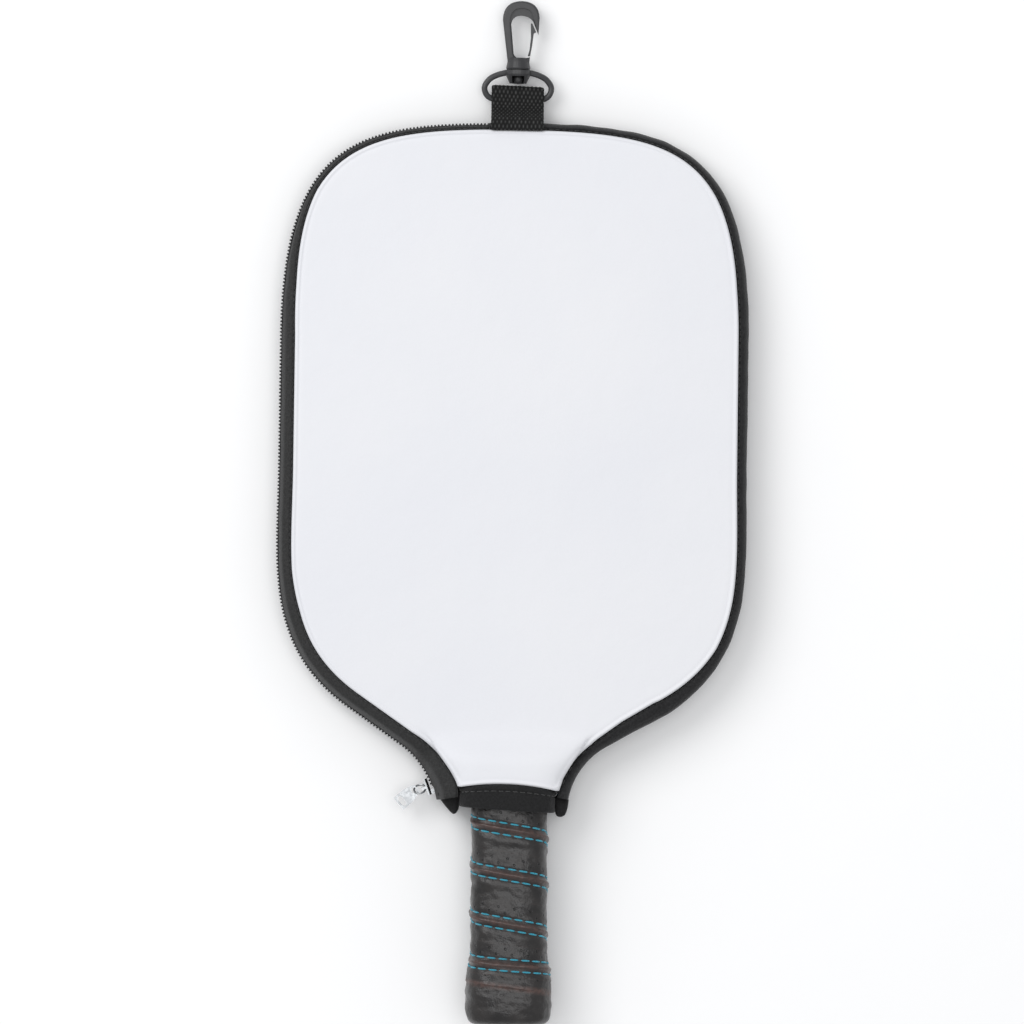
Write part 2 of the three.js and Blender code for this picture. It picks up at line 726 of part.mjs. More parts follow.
// The hollow on each face of the hook's head, between the rounded band and the opening.
function headRecess(bottom, top) {
  const shape = new THREE.Shape();
  shape.moveTo(-4.3, 225);
  shape.quadraticCurveTo(-4.2, 231.9, 1.1, 232);
  shape.quadraticCurveTo(6.2, 231.9, 6.7, 227.6);
  shape.lineTo(6.1, 225.4);
  shape.quadraticCurveTo(4.6, 227.8, 0.9, 227.8);
  shape.quadraticCurveTo(-2.6, 227.7, -3, 224.6);
  return plate(shape.getPoints(8), bottom, top);
}

function hookBody() {
  const barrelProfile = [[0, 203.7], [5.3, 203.7], [5.6, 204.4], [5, 207.4], [4.4, 209], [0, 209]];
  const barrel = new THREE.LatheGeometry(barrelProfile.map(([r, y]) => new THREE.Vector2(r, y)), 28);
  const post = rod(1.6, 199.4, 204);
  const ball = new THREE.SphereGeometry(2.2, 16, 10).translate(0, 199.2, 0);
  return join(hookFrame(), barrel, post, ball);
}

// The springy leaf that closes the hook, with its slanted tip inside the nose.
function hookGate() {
  const shape = new THREE.Shape();
  shape.moveTo(4.3, 209.9);
  shape.lineTo(5.4, 210);
  shape.lineTo(6.2, 214.5);
  shape.lineTo(6.9, 220.4);
  shape.lineTo(8, 221);
  shape.lineTo(6.2, 224.9);
  shape.lineTo(5.5, 224.9);
  shape.lineTo(5.6, 218.4);
  shape.lineTo(5.1, 213);
  const depth = HOOK_THICKNESS - 0.8;
  const geometry = new THREE.ExtrudeGeometry(shape, { depth, bevelEnabled: false });
  return geometry.translate(0, 0, -depth / 2);
}

function addHook() {
  addMesh(paddleCase, 'webbing_loop', webbingLoop(), 'webbing');
  const hook = new THREE.Group();
  hook.position.z = HOOK_Z;
  paddleCase.add(hook);
  addMesh(hook, 'swivel_ring', swivelRing(), 'hookPlastic');
  addMesh(hook, 'snap_hook', hookBody(), 'hookPlastic');
  addMesh(hook, 'hook_gate', hookGate(), 'hookPlastic');
}

// ---------------------------------------------------------------------------------------
// Paddle, in its own frame: the middle of its thickness is Z = 0
// ---------------------------------------------------------------------------------------

// Half of the paddle head's outline, from the top to the throat.
function paddleHalf() {
  const half = 99.5;
  const top = 171.2;
  const path = new THREE.Path();
  path.moveTo(0, top);
  path.bezierCurveTo(62, top, half, 166, half, 80);
  path.lineTo(half, 15);
  path.bezierCurveTo(half, -48, 88, -66, 64, -82);
  path.quadraticCurveTo(44, -95, 15, -101);
  return path;
}

const PADDLE_STEPS = 36;

// A point of the right half of the paddle's outline, moved inwards.
function paddlePoint(outline, step, inset) {
  const t = step / PADDLE_STEPS;
  const point = outline.getPointAt(t);
  const tangent = outline.getTangentAt(t);
  return new THREE.Vector2(point.x + inset * tangent.y, point.y - inset * tangent.x);
}

function paddleOutline(inset) {
  const outline = paddleHalf();
  const right = [];
  for (let i = 0; i <= PADDLE_STEPS; i += 1) {
    right.push(paddlePoint(outline, i, inset));
  }
  const left = right.map((point) => new THREE.Vector2(-point.x, point.y)).reverse();
  return [...right, ...left.slice(0, -1)];
}

// The bumper strip round the head's edge, open at the throat.
function edgeGuard() {
  const half = PADDLE_THICKNESS / 2;
  const outline = paddleHalf();
  const sides = { left: [], right: [] };
  for (let i = 0; i <= PADDLE_STEPS - 3; i += 1) {
    const outer = paddlePoint(outline, i, 0);
    const inner = paddlePoint(outline, i, GUARD_WIDTH);
    const corners = [[outer, half], [outer, -half], [inner, -half], [inner, half]];
    for (const [side, sign] of [['left', -1], ['right', 1]]) {
      sides[side].push(corners.map(([spot, z]) => new THREE.Vector3(sign * spot.x, spot.y, z)));
    }
  }
  return loft([...sides.left.reverse(), ...sides.right.slice(1)], SQUARE);
}

const GRIP_SEGMENTS = 32;

// Rounded rectangles round the handle, from [y, half width, half height] stations.
function gripLoops(stations, inset) {
  return stations.map(([y, halfWidth, halfHeight]) => (
    Array.from({ length: GRIP_SEGMENTS }, (_, i) => {
      const angle = (i / GRIP_SEGMENTS) * 2 * Math.PI;
      const { x, z } = superellipse(angle, halfWidth - inset, halfHeight - inset, GRIP_POWER);
      return new THREE.Vector3(x, y, z);
    })));
}

function sleeve(stations, wall) {
  return loft([...gripLoops(stations, 0), ...gripLoops(stations, wall).reverse()]);
}

function roundedBar(stations) {
  const loops = gripLoops(stations, 0);
  return loft(loops, loops[0].map((point) => new THREE.Vector2(point.x, point.z)));
}

function addPaddle() {
  const paddle = new THREE.Group();
  paddle.position.set(0, PADDLE_PIVOT_Y, PADDLE_PIVOT_Z);
  paddle.rotation.set(-PADDLE_TILT, 0, PADDLE_YAW);
  const inPlace = new THREE.Group();
  inPlace.position.y = -PADDLE_PIVOT_Y;
  paddle.add(inPlace);
  paddleCase.add(paddle);

  const half = PADDLE_THICKNESS / 2;
  const inside = paddleOutline(GUARD_WIDTH + GAP);
  const coreHalf = half - FACE_THICKNESS - GAP;
  addMesh(inPlace, 'paddle_core', plate(inside, -coreHalf, coreHalf), 'honeycomb');
  addMesh(inPlace, 'paddle_front_face', plate(inside, half - FACE_THICKNESS, half), 'carbonFace');
  addMesh(inPlace, 'paddle_back_face', plate(inside, -half, FACE_THICKNESS - half), 'carbonFace');
  addMesh(inPlace, 'edge_guard', edgeGuard(), 'edgeRubber');

  const tangStart = -101;
  const tangEnd = BUTT_Y + 9;
  const tang = box(-12.5, 12.5, tangEnd, tangStart, -coreHalf, coreHalf);
  addMesh(inPlace, 'handle_tang', tang, 'honeycomb');
  for (const [name, sign] of [['front', 1], ['back', -1]]) {
    const pallet = box(-10.6, 10.6, tangEnd, GRIP_START_Y + 2, coreHalf + GAP, 9.8);
    addMesh(inPlace, `handle_${name}_pallet`, sign === 1 ? pallet : pallet.rotateY(Math.PI), 'foam');
  }
  const collarEnds = [[GRIP_START_Y + 2.8, 16.6, 13], [GRIP_START_Y + GAP, 16.6, 13]];
  addMesh(inPlace, 'grip_collar', sleeve(collarEnds, 1.6), 'edgeRubber');
  const grip = [
    [GRIP_START_Y, 17.1, 13.5], [-150, 17.2, 13.6], [-200, 17.4, 13.8], [-209, 18.6, 14.4], [-216, 19.4, 15.2],
    [-228, 19.5, 15.4],
  ];
  addMesh(inPlace, 'grip_wrap', sleeve(grip, GRIP_WALL), 'gripLeather');
  const butt = [[-228.3, 19.4, 15.3], [-232, 19.2, 15], [-234.2, 17.6, 13.4], [BUTT_Y, 14.6, 10.4]];
  addMesh(inPlace, 'butt_cap', roundedBar(butt), 'gripLeather');
}

addPanels();
addWalls();
addNeck();
addSlider();
addHook();
addPaddle();

export default paddleCase;
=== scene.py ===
"""Zipped neoprene paddle case, lying on its back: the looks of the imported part.

Shapes are worked out in millimetres and put in the scene in metres. The case's outline and
heights repeat the formulas of the CAD part.
"""

import math

import bmesh
import bpy
import numpy as np
from mathutils import Matrix, Vector, noise
from mathutils.geometry import delaunay_2d_cdt


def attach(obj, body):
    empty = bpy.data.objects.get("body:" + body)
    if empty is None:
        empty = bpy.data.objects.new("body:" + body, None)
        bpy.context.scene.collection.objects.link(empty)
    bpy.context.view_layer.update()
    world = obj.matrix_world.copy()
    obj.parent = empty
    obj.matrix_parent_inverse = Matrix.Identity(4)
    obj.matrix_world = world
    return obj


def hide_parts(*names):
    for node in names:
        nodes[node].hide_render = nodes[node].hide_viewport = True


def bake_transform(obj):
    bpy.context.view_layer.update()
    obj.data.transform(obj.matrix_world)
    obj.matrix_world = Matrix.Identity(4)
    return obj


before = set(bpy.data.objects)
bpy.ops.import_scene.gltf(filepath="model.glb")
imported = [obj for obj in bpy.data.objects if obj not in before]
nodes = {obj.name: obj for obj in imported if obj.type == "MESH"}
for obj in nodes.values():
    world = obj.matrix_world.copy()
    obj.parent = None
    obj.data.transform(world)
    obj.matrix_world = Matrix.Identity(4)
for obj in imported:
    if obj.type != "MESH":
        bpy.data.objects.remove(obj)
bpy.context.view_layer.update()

MM = 0.001

# ---------------------------------------------------------------------------------------
# Case outline and heights, as in the CAD part
# ---------------------------------------------------------------------------------------

PANEL_THICKNESS = 3.0
RIM_DROP = 0.9
ZIP_Z = 10.5
ZIP_START, ZIP_END = 0.031, 0.985
PANEL_END = {"left": 0.991, "right": 0.993}
FLARE = {"left": (71.2, -139.5, 38.0, 124, 170), "right": (62.8, -137.6, 35.0, 120, 170)}
WALL_WIDTH = {
    "left": [(0, 3.4), (0.25, 4), (0.36, 6.7), (0.42, 7.4), (0.68, 7.5), (0.73, 8.5),
             (0.93, 8.6), (0.97, 10.8), (0.99, 12.4), (1, 11.6)],
    "right": [(0, 3.5), (0.25, 4), (0.36, 5), (0.7, 4.5), (0.76, 4.8), (0.86, 7.9),
              (0.9, 7.2), (0.94, 5), (1, 5.4)],
}
CASE_HALF_WIDTH = 107.9
HEAD_TOP_Y = 178.9
SHOULDER = (72.8, -92.2)
MOUTH_Y = -124.5
MOUTH_PEAK_X = -2.5
MOUTH_SAG = 0.0046
NECK_MIDDLE_Z = 17.2
NECK_HALF_WIDTH = 21.8
NECK_POWER = 3.6
NECK_END_Y = -136.5
BAND_THICKNESS = 2.6
GAP = 0.3
PADDLE_TILT = math.radians(1.37)
PADDLE_YAW = math.radians(0.45)
PADDLE_PIVOT = Vector((0, 15, 13.66))
PADDLE_HALF_THICKNESS = 6.5
PADDLE_CLEARANCE = 0.5
ARCH_HEIGHT = 14.5
ARCH_HALF_WIDTH = 25.5
ARCH_SPREAD = 0.6
ARCH_Y = -122


def cubic(points, count):
    t = np.linspace(0, 1, count)[:, None]
    a, b, c, d = (np.array(p, float) for p in points)
    return a * (1 - t) ** 3 + 3 * b * t * (1 - t) ** 2 + 3 * c * t * t * (1 - t) + d * t ** 3


class HalfOutline:
    """Half of the case's outline, from the middle of the top edge down to the neck."""

    def __init__(self, side):
        x, y, radius, start, end = FLARE[side]
        angles = np.radians(np.linspace(start, end, 120))
        arc = np.stack([x + radius * np.cos(angles), y + radius * np.sin(angles)], axis=1)
        line = np.concatenate([
            cubic([(0, HEAD_TOP_Y), (70, HEAD_TOP_Y), (CASE_HALF_WIDTH, 174), (CASE_HALF_WIDTH, 80)], 400),
            cubic([(CASE_HALF_WIDTH, 20), (CASE_HALF_WIDTH, -26), (114.4, -64.2), SHOULDER], 300),
            arc,
        ])
        steps = np.linalg.norm(np.diff(line, axis=0), axis=1)
        self.way = np.concatenate([[0], np.cumsum(steps)])
        self.length = self.way[-1]
        self.line = line
        self.sign = -1 if side == "left" else 1
        self.widths = WALL_WIDTH[side]

    def raw(self, t):
        s = np.clip(t, 0, 1) * self.length
        return np.stack([np.interp(s, self.way, self.line[:, k]) for k in (0, 1)], axis=-1)

    def at(self, t):
        """Points of the outline, and the directions that point out of the case."""
        step = 0.002
        ahead = self.raw(np.minimum(t + step, 1)) - self.raw(np.maximum(t - step, 0))
        ahead /= np.linalg.norm(ahead, axis=-1, keepdims=True)
        flip = np.array([self.sign, 1.0])
        outward = np.stack([-ahead[..., 1] * self.sign, ahead[..., 0]], axis=-1)
        return self.raw(t) * flip, outward, ahead * flip

    def width(self, t):
        keys, values = zip(*self.widths)
        return np.interp(t, keys, values)


OUTLINE = {side: HalfOutline(side) for side in ("left", "right")}


def smoothstep(value, low, high):
    t = np.clip((value - low) / (high - low), 0, 1)
    return t * t * (3 - 2 * t)


def front_underside(x, y):
    """Flat over the paddle's head, arched over its handle."""
    paddle_middle = PADDLE_PIVOT.z + (PADDLE_PIVOT.y - y) * math.tan(PADDLE_TILT)
    flat = paddle_middle + PADDLE_HALF_THICKNESS + PADDLE_CLEARANCE
    half_width = ARCH_HALF_WIDTH + ARCH_SPREAD * np.maximum(0, y - ARCH_Y)
    across = np.minimum(1, np.abs(x) / half_width)
    arch = NECK_MIDDLE_Z + ARCH_HEIGHT * (1 - across ** NECK_POWER) ** (1 / NECK_POWER)
    share = smoothstep(-y, 100, 116)
    return flat * (1 - share) + arch * share


def mouth_y(x):
    return MOUTH_Y - MOUTH_SAG * (x - MOUTH_PEAK_X) ** 2


# ---------------------------------------------------------------------------------------
# Mesh tools
# ---------------------------------------------------------------------------------------

def mesh_object(name, points, faces, material):
    """A mesh from points in millimetres, with its resting places kept for the materials."""
    mesh = bpy.data.meshes.new(name)
    points = np.asarray(points, float) * MM
    mesh.from_pydata(points.tolist(), [], [list(map(int, face)) for face in faces])
    work = bmesh.new()
    work.from_mesh(mesh)
    bmesh.ops.recalc_face_normals(work, faces=work.faces)
    work.to_mesh(mesh)
    work.free()
    rest = mesh.attributes.new("rest", "FLOAT_VECTOR", "POINT")
    rest.data.foreach_set("vector", points.astype(np.float32).ravel())
    mesh.materials.append(material)
    mesh.polygons.foreach_set("use_smooth", [True] * len(mesh.polygons))
    piece = bpy.data.objects.new(name, mesh)
    bpy.context.scene.collection.objects.link(piece)
    return piece


def add_values(piece, name, values):
    attribute = piece.data.attributes.new(name, "FLOAT", "POINT")
    attribute.data.foreach_set("value", np.asarray(values, np.float32).ravel())


def tube_faces(rows, columns):
    """Faces between a row of closed loops, with one face over each end."""
    faces = []
    for i in range(rows - 1):
        near, far = i * columns, (i + 1) * columns
        for j in range(columns):
            following = (j + 1) % columns
            faces.append((near + j, near + following, far + following, far + j))
    faces.append(tuple(range(columns)))
    faces.append(tuple(range((rows - 1) * columns, rows * columns)))
    return faces


def sweep(name, loops, material):
    """A solid through a row of closed loops of points, with flat ends."""
    loops = np.asarray(loops, float)
    return mesh_object(name, loops.reshape(-1, 3), tube_faces(*loops.shape[:2]), material)


def smooth_line(points, per_span, closed=False):
    """A Catmull-Rom curve through points of any dimension."""
    points = np.asarray(points, float)
    count = len(points)
    spans = count if closed else count - 1
    out = []
    for i in range(spans):
        pick = np.arange(i - 1, i + 3)
        a, b, c, d = points[pick % count if closed else np.clip(pick, 0, count - 1)]
        bend = 2 * a - 5 * b + 4 * c - d
        twist = 3 * (b - c) + d - a
        for t in np.arange(per_span) / per_span:
            out.append(b + 0.5 * t * ((c - a) + t * (bend + t * twist)))
    if not closed:
        out.append(points[-1])
    return np.array(out)


def tube(path, radii, sides=6):
    """Points and faces of a round bar along a path."""
    path = np.asarray(path, float)
    radii = np.broadcast_to(radii, len(path))
    ahead = np.gradient(path, axis=0)
    ahead /= np.linalg.norm(ahead, axis=1, keepdims=True)
    side = np.cross(ahead, [0.31, 0.52, 0.79])
    side /= np.linalg.norm(side, axis=1, keepdims=True)
    up = np.cross(ahead, side)
    turns = np.linspace(0, 2 * math.pi, sides, endpoint=False)
    rings = path[:, None] + radii[:, None, None] * (
        np.cos(turns)[None, :, None] * side[:, None] + np.sin(turns)[None, :, None] * up[:, None])
    return rings.reshape(-1, 3), tube_faces(len(path), sides)


def copies(name, shape, places, material):
    """One mesh of many copies of a shape. Each place is an origin and three axes."""
    points, faces = shape
    all_points, all_faces = [], []
    for number, (origin, axes) in enumerate(places):
        all_points.append(np.asarray(origin) + points @ np.asarray(axes))
        all_faces += [tuple(corner + number * len(points) for corner in face) for face in faces]
    return mesh_object(name, np.concatenate(all_points), all_faces, material)


def stitch_shape(length, radius, lift=0.0):
    """A sewn stitch along X that dips into the cloth at both ends. Z is out of the cloth."""
    t = np.linspace(-1, 1, 7)
    path = np.stack([t * length / 2, 0 * t, lift - radius * 1.1 * t ** 4], axis=1)
    return tube(path, radius * np.sqrt(np.maximum(1 - 0.8 * t ** 4, 0.05)))


def stitch_places(line, normals, pitch, start=0.0):
    """Places for stitches along a line of points, one each pitch."""
    line, normals = np.asarray(line, float), np.asarray(normals, float)
    way = np.concatenate([[0], np.cumsum(np.linalg.norm(np.diff(line, axis=0), axis=1))])
    places = []
    for s in np.arange(start + pitch / 2, way[-1] - pitch / 2, pitch):
        at = [np.array([np.interp(v, way, line[:, k]) for k in range(3)]) for v in (s - 0.4, s, s + 0.4)]
        out = np.array([np.interp(s, way, normals[:, k]) for k in range(3)])
        ahead = at[2] - at[0]
        ahead /= np.linalg.norm(ahead)
        across = np.cross(out, ahead)
        across /= np.linalg.norm(across)
        places.append((at[1], [ahead, across, np.cross(ahead, across)]))
    return places


# ---------------------------------------------------------------------------------------
# Materials
# ---------------------------------------------------------------------------------------

class Paint:
    """Builds a material's nodes."""

    def __init__(self, name, **settings):
        self.material = bpy.data.materials.new(name)
        self.material.use_nodes = True
        self.tree = self.material.node_tree
        self.shader = self.tree.nodes["Principled BSDF"]
        for key, value in settings.items():
            self.set(self.shader, key.replace("_", " "), value)
        self.height = None

    def set(self, node, key, value):
        if isinstance(value, bpy.types.NodeSocket):
            self.tree.links.new(value, node.inputs[key])
        else:
            node.inputs[key].default_value = value

    def add(self, kind, inputs=None, **settings):
        node = self.tree.nodes.new(kind)
        for key, value in settings.items():
            setattr(node, key, value)
        for key, value in (inputs or {}).items():
            self.set(node, key, value)
        return node

    def place(self):
        """The point's resting place, in millimetres."""
        rest = self.add("ShaderNodeAttribute", attribute_name="rest")
        return self.scaled(rest.outputs["Vector"], (1000, 1000, 1000))

    def cad_place(self):
        coordinates = self.add("ShaderNodeTexCoord")
        return self.scaled(coordinates.outputs["Object"], (1000, 1000, 1000))

    def scaled(self, vector, by):
        return self.add("ShaderNodeVectorMath", {0: vector, 1: by}, operation="MULTIPLY").outputs[0]

    def value(self, name):
        return self.add("ShaderNodeAttribute", attribute_name=name).outputs["Fac"]

    def math(self, operation, a, b=0.0, c=0.0):
        return self.add("ShaderNodeMath", {0: a, 1: b, 2: c}, operation=operation).outputs[0]

    def noise(self, vector, scale, detail=2.0, roughness=0.5):
        inputs = {"Vector": vector, "Scale": scale, "Detail": detail, "Roughness": roughness}
        return self.add("ShaderNodeTexNoise", inputs).outputs["Fac"]

    def cells(self, vector, scale, feature="F1"):
        return self.add("ShaderNodeTexVoronoi", {"Vector": vector, "Scale": scale},
                        feature=feature).outputs["Distance"]

    def wave(self, vector, scale, direction="X"):
        return self.add("ShaderNodeTexWave", {"Vector": vector, "Scale": scale},
                        bands_direction=direction).outputs["Fac"]

    def ramp(self, value, low, high, from_value=0.0, to_value=1.0):
        return self.add("ShaderNodeMapRange", {
            "Value": value, "From Min": low, "From Max": high, "To Min": from_value, "To Max": to_value,
        }).outputs["Result"]

    def mix(self, share, first, second):
        node = self.add("ShaderNodeMix", data_type="RGBA")
        for index, value in ((0, share), (6, first), (7, second)):
            if isinstance(value, bpy.types.NodeSocket):
                self.tree.links.new(value, node.inputs[index])
            else:
                node.inputs[index].default_value = value if index == 0 else (*value, 1)
        return node.outputs[2]

    def colour(self, value):
        if isinstance(value, bpy.types.NodeSocket):
            self.tree.links.new(value, self.shader.inputs["Base Color"])
        else:
            self.shader.inputs["Base Color"].default_value = (*value, 1)

    def bump(self, height, depth_mm, strength=1.0):
        """Adds relief. Height runs from 0 to 1 over depth_mm."""
        inputs = {"Height": height, "Distance": depth_mm * MM, "Strength": strength}
        if self.height is not None:
            inputs["Normal"] = self.height
        self.height = self.add("ShaderNodeBump", inputs).outputs["Normal"]
        self.tree.links.new(self.height, self.shader.inputs["Normal"])


def white_neoprene():
    paint = Paint("white_neoprene", Roughness=0.82, Sheen_Weight=0.05, Sheen_Roughness=0.4)
    place = paint.place()
    patches = paint.noise(place, 0.012, 2)
    shade = paint.mix(paint.ramp(patches, 0.3, 0.7), (0.745, 0.752, 0.785), (0.775, 0.778, 0.80))
    fine = paint.noise(place, 1.6, 3, 0.6)
    paint.colour(paint.mix(paint.ramp(fine, 0.2, 0.8, 0.0, 0.25), shade, (0.72, 0.73, 0.77)))
    paint.bump(fine, 0.06)
    paint.bump(paint.noise(place, 0.09, 2), 0.35)
    return paint.material


def knitted(name, dark, light, rib=0.9, relief=0.12):
    """Black knit or woven cloth, with fine ribs and a lighter nap."""
    paint = Paint(name, Roughness=0.8, Specular_IOR_Level=0.2, Sheen_Weight=0.08, Sheen_Roughness=0.5)
    place = paint.place()
    fine = paint.noise(place, rib, 4, 0.65)
    ribs = paint.cells(place, 1.35 * rib)
    paint.colour(paint.mix(paint.ramp(fine, 0.3, 0.75), dark, light))
    paint.bump(ribs, relief)
    paint.bump(fine, relief)
    return paint.material


def coil_nylon():
    paint = Paint("coil_nylon", Roughness=0.34)
    fine = paint.noise(paint.place(), 0.8, 2)
    paint.colour(paint.mix(fine, (0.010, 0.010, 0.011), (0.024, 0.024, 0.026)))
    return paint.material


def thread(name, dark, light):
    paint = Paint(name, Roughness=0.5, Sheen_Weight=0.3)
    place = paint.place()
    twist = paint.wave(place, 1.4, "DIAGONAL")
    paint.colour(paint.mix(twist, dark, light))
    paint.bump(twist, 0.1)
    return paint.material


def zinc_metal():
    paint = Paint("zinc_metal", Metallic=1.0)
    place = paint.cad_place()
    wear = paint.noise(place, 0.7, 4, 0.6)
    paint.colour(paint.mix(paint.ramp(wear, 0.3, 0.8), (0.36, 0.37, 0.38), (0.24, 0.25, 0.26)))
    paint.set(paint.shader, "Roughness", paint.ramp(wear, 0.2, 0.8, 0.2, 0.38))
    paint.bump(wear, 0.03)
    return paint.material


def hook_plastic():
    paint = Paint("hook_plastic")
    place = paint.cad_place()
    grain = paint.noise(place, 2.2, 3, 0.6)
    flow = paint.noise(place, 0.12, 2)
    paint.colour(paint.mix(paint.ramp(flow, 0.3, 0.7), (0.026, 0.026, 0.028), (0.036, 0.036, 0.038)))
    paint.set(paint.shader, "Roughness", paint.ramp(grain, 0.2, 0.8, 0.36, 0.5))
    paint.bump(grain, 0.05)
    return paint.material


def webbing_cloth():
    paint = Paint("black_webbing", Roughness=0.75, Specular_IOR_Level=0.2)
    place = paint.place()
    fibres = paint.noise(paint.scaled(place, (3.0, 0.9, 0.9)), 1.6, 3, 0.6)
    # painted highlight: the raised tips of the weave are coloured light grey, as if lit
    tip_highlight = paint.math("MULTIPLY", paint.value("tip"), paint.ramp(fibres, 0.2, 0.7, 0.4, 1.0))
    paint.colour(paint.mix(tip_highlight, (0.005, 0.005, 0.005), (0.085, 0.087, 0.085)))
    paint.bump(fibres, 0.15)
    return paint.material


HOLE_PITCH = 7.2  # between the perforations of one row
HOLE_ROWS = ((4.7, 0.0), (7.1, 0.42))  # height above the ridge, and shift in pitches


def grip_leather():
    """Dark leather. wrap_across is the distance from the seam's ridge, wrap_along the way on."""
    paint = Paint("grip_leather", Sheen_Weight=0.06)
    place = paint.place()
    across, along = paint.value("wrap_across"), paint.value("wrap_along")
    patches = paint.noise(place, 0.13, 3)
    grain = paint.cells(place, 1.5)
    leather = paint.mix(paint.ramp(patches, 0.35, 0.7), (0.009, 0.008, 0.008), (0.022, 0.019, 0.018))
    ridge = paint.ramp(paint.math("ABSOLUTE", across), 0.4, 2.0, 1.0, 0.0)
    worn = paint.math("MULTIPLY", ridge, paint.ramp(paint.noise(place, 0.5, 3), 0.3, 0.65, 0.25, 1.0))
    paint.colour(paint.mix(worn, leather, (0.075, 0.042, 0.035)))
    paint.set(paint.shader, "Roughness", paint.ramp(patches, 0.3, 0.7, 0.28, 0.42))
    paint.bump(grain, 0.06)
    paint.bump(patches, 0.9)
    for row, shift in HOLE_ROWS:
        slot = paint.math("FRACT", paint.math("ADD", paint.math("DIVIDE", along, HOLE_PITCH), shift))
        sideways = paint.math("MULTIPLY", paint.math("SUBTRACT", slot, 0.5), HOLE_PITCH)
        upwards = paint.math("SUBTRACT", across, row)
        squared = paint.math("ADD", paint.math("MULTIPLY", sideways, sideways),
                             paint.math("MULTIPLY", upwards, upwards))
        hole = paint.ramp(paint.math("SQRT", squared), 0.35, 0.6, 1.0, 0.0)
        # painted shade: each perforation is coloured near black for the shade inside the hole, and dented by
        # the bump
        old = paint.shader.inputs["Base Color"].links[0].from_socket
        paint.colour(paint.mix(hole, old, (0.001, 0.001, 0.001)))
        paint.bump(paint.math("SUBTRACT", 1.0, hole), 0.6)
    return paint.material


def carbon_face():
    """Two-way weave of flat tows under a matt, slightly rough skin."""
    paint = Paint("carbon_face", Roughness=0.45)
    place = paint.cad_place()
    turned = paint.add("ShaderNodeVectorRotate", {"Vector": place, "Angle": math.radians(45)})
    checks = paint.add("ShaderNodeTexChecker", {"Vector": turned.outputs[0], "Scale": 0.45})
    grit = paint.noise(place, 2.5, 3, 0.7)
    tows = paint.mix(checks.outputs["Fac"], (0.016, 0.017, 0.019), (0.032, 0.034, 0.037))
    paint.colour(paint.mix(paint.ramp(grit, 0.4, 0.8, 0, 0.4), tows, (0.05, 0.05, 0.055)))
    paint.bump(grit, 0.12)
    return paint.material


def moulded(name, dark, light, roughness, scale):
    """Rubber, foam or honeycomb: a matt body with pores of the given scale per millimetre."""
    paint = Paint(name, Roughness=roughness)
    place = paint.cad_place()
    pores = paint.cells(place, scale)
    paint.colour(paint.mix(pores, dark, light))
    paint.bump(pores, 0.2)
    return paint.material


MATERIALS = {
    "white_neoprene": white_neoprene(),
    "black_neoprene": knitted("black_neoprene", (0.008, 0.008, 0.0085), (0.026, 0.026, 0.027)),
    "black_tape": knitted("black_tape", (0.017, 0.017, 0.017), (0.044, 0.044, 0.044), rib=1.3),
    "neck_tape": knitted("neck_tape", (0.007, 0.007, 0.007), (0.019, 0.019, 0.02), rib=1.1),
    "coil_nylon": coil_nylon(),
    "zinc_metal": zinc_metal(),
    "hook_plastic": hook_plastic(),
    "black_webbing": webbing_cloth(),
    "honeycomb": moulded("honeycomb", (0.55, 0.52, 0.44), (0.7, 0.67, 0.6), 0.6, 0.25),
    "carbon_face": carbon_face(),
    "edge_rubber": moulded("edge_rubber", (0.008, 0.008, 0.009), (0.02, 0.02, 0.021), 0.6, 2.0),
    "foam": moulded("foam", (0.03, 0.03, 0.032), (0.06, 0.06, 0.062), 0.9, 1.5),
    "grip_leather": grip_leather(),
    "black_thread": thread("black_thread", (0.012, 0.012, 0.012), (0.05, 0.05, 0.05)),
    "blue_thread": thread("blue_thread", (0.008, 0.20, 0.30), (0.03, 0.42, 0.56)),
}

# ---------------------------------------------------------------------------------------
# Front and back panels
# ---------------------------------------------------------------------------------------

def panel_boundary(spacing):
    """The panels' outline inside the walls, anticlockwise from the right of the mouth."""
    sides = {}
    for side, outline in OUTLINE.items():
        count = int(outline.length * PANEL_END[side] / spacing)
        t = np.linspace(0, PANEL_END[side], count)
        points, outward, _ = outline.at(t)
        sides[side] = points - outward * outline.width(t)[:, None]
    left, right = sides["left"][-1, 0], sides["right"][-1, 0]
    x = np.linspace(left, right, int((right - left) / spacing))[1:-1]
    mouth = np.stack([x, mouth_y(x)], axis=1)
    return np.concatenate([sides["right"][::-1], sides["left"][1:], mouth])


def edge_distance(points, boundary):
    """How far points are from a closed line, and whether they are inside it."""
    start, end = boundary, np.roll(boundary, -1, axis=0)
    along = end - start
    distances, inside = [], []
    for chunk in np.array_split(points, max(1, len(points) // 1500)):
        offset = chunk[:, None] - start[None]
        share = np.clip((offset * along).sum(-1) / (along ** 2).sum(-1), 0, 1)
        distances.append(np.linalg.norm(offset - share[..., None] * along, axis=-1).min(1))
        spans = (start[:, 1] > chunk[:, 1:]) != (end[:, 1] > chunk[:, 1:])
        rise = np.where(along[:, 1] == 0, 1e-9, along[:, 1])
        crossing = start[:, 0] + (chunk[:, 1:] - start[:, 1]) / rise * along[:, 0]
        inside.append(((spans & (chunk[:, :1] < crossing)).sum(1) % 2) == 1)
    return np.concatenate(distances), np.concatenate(inside)


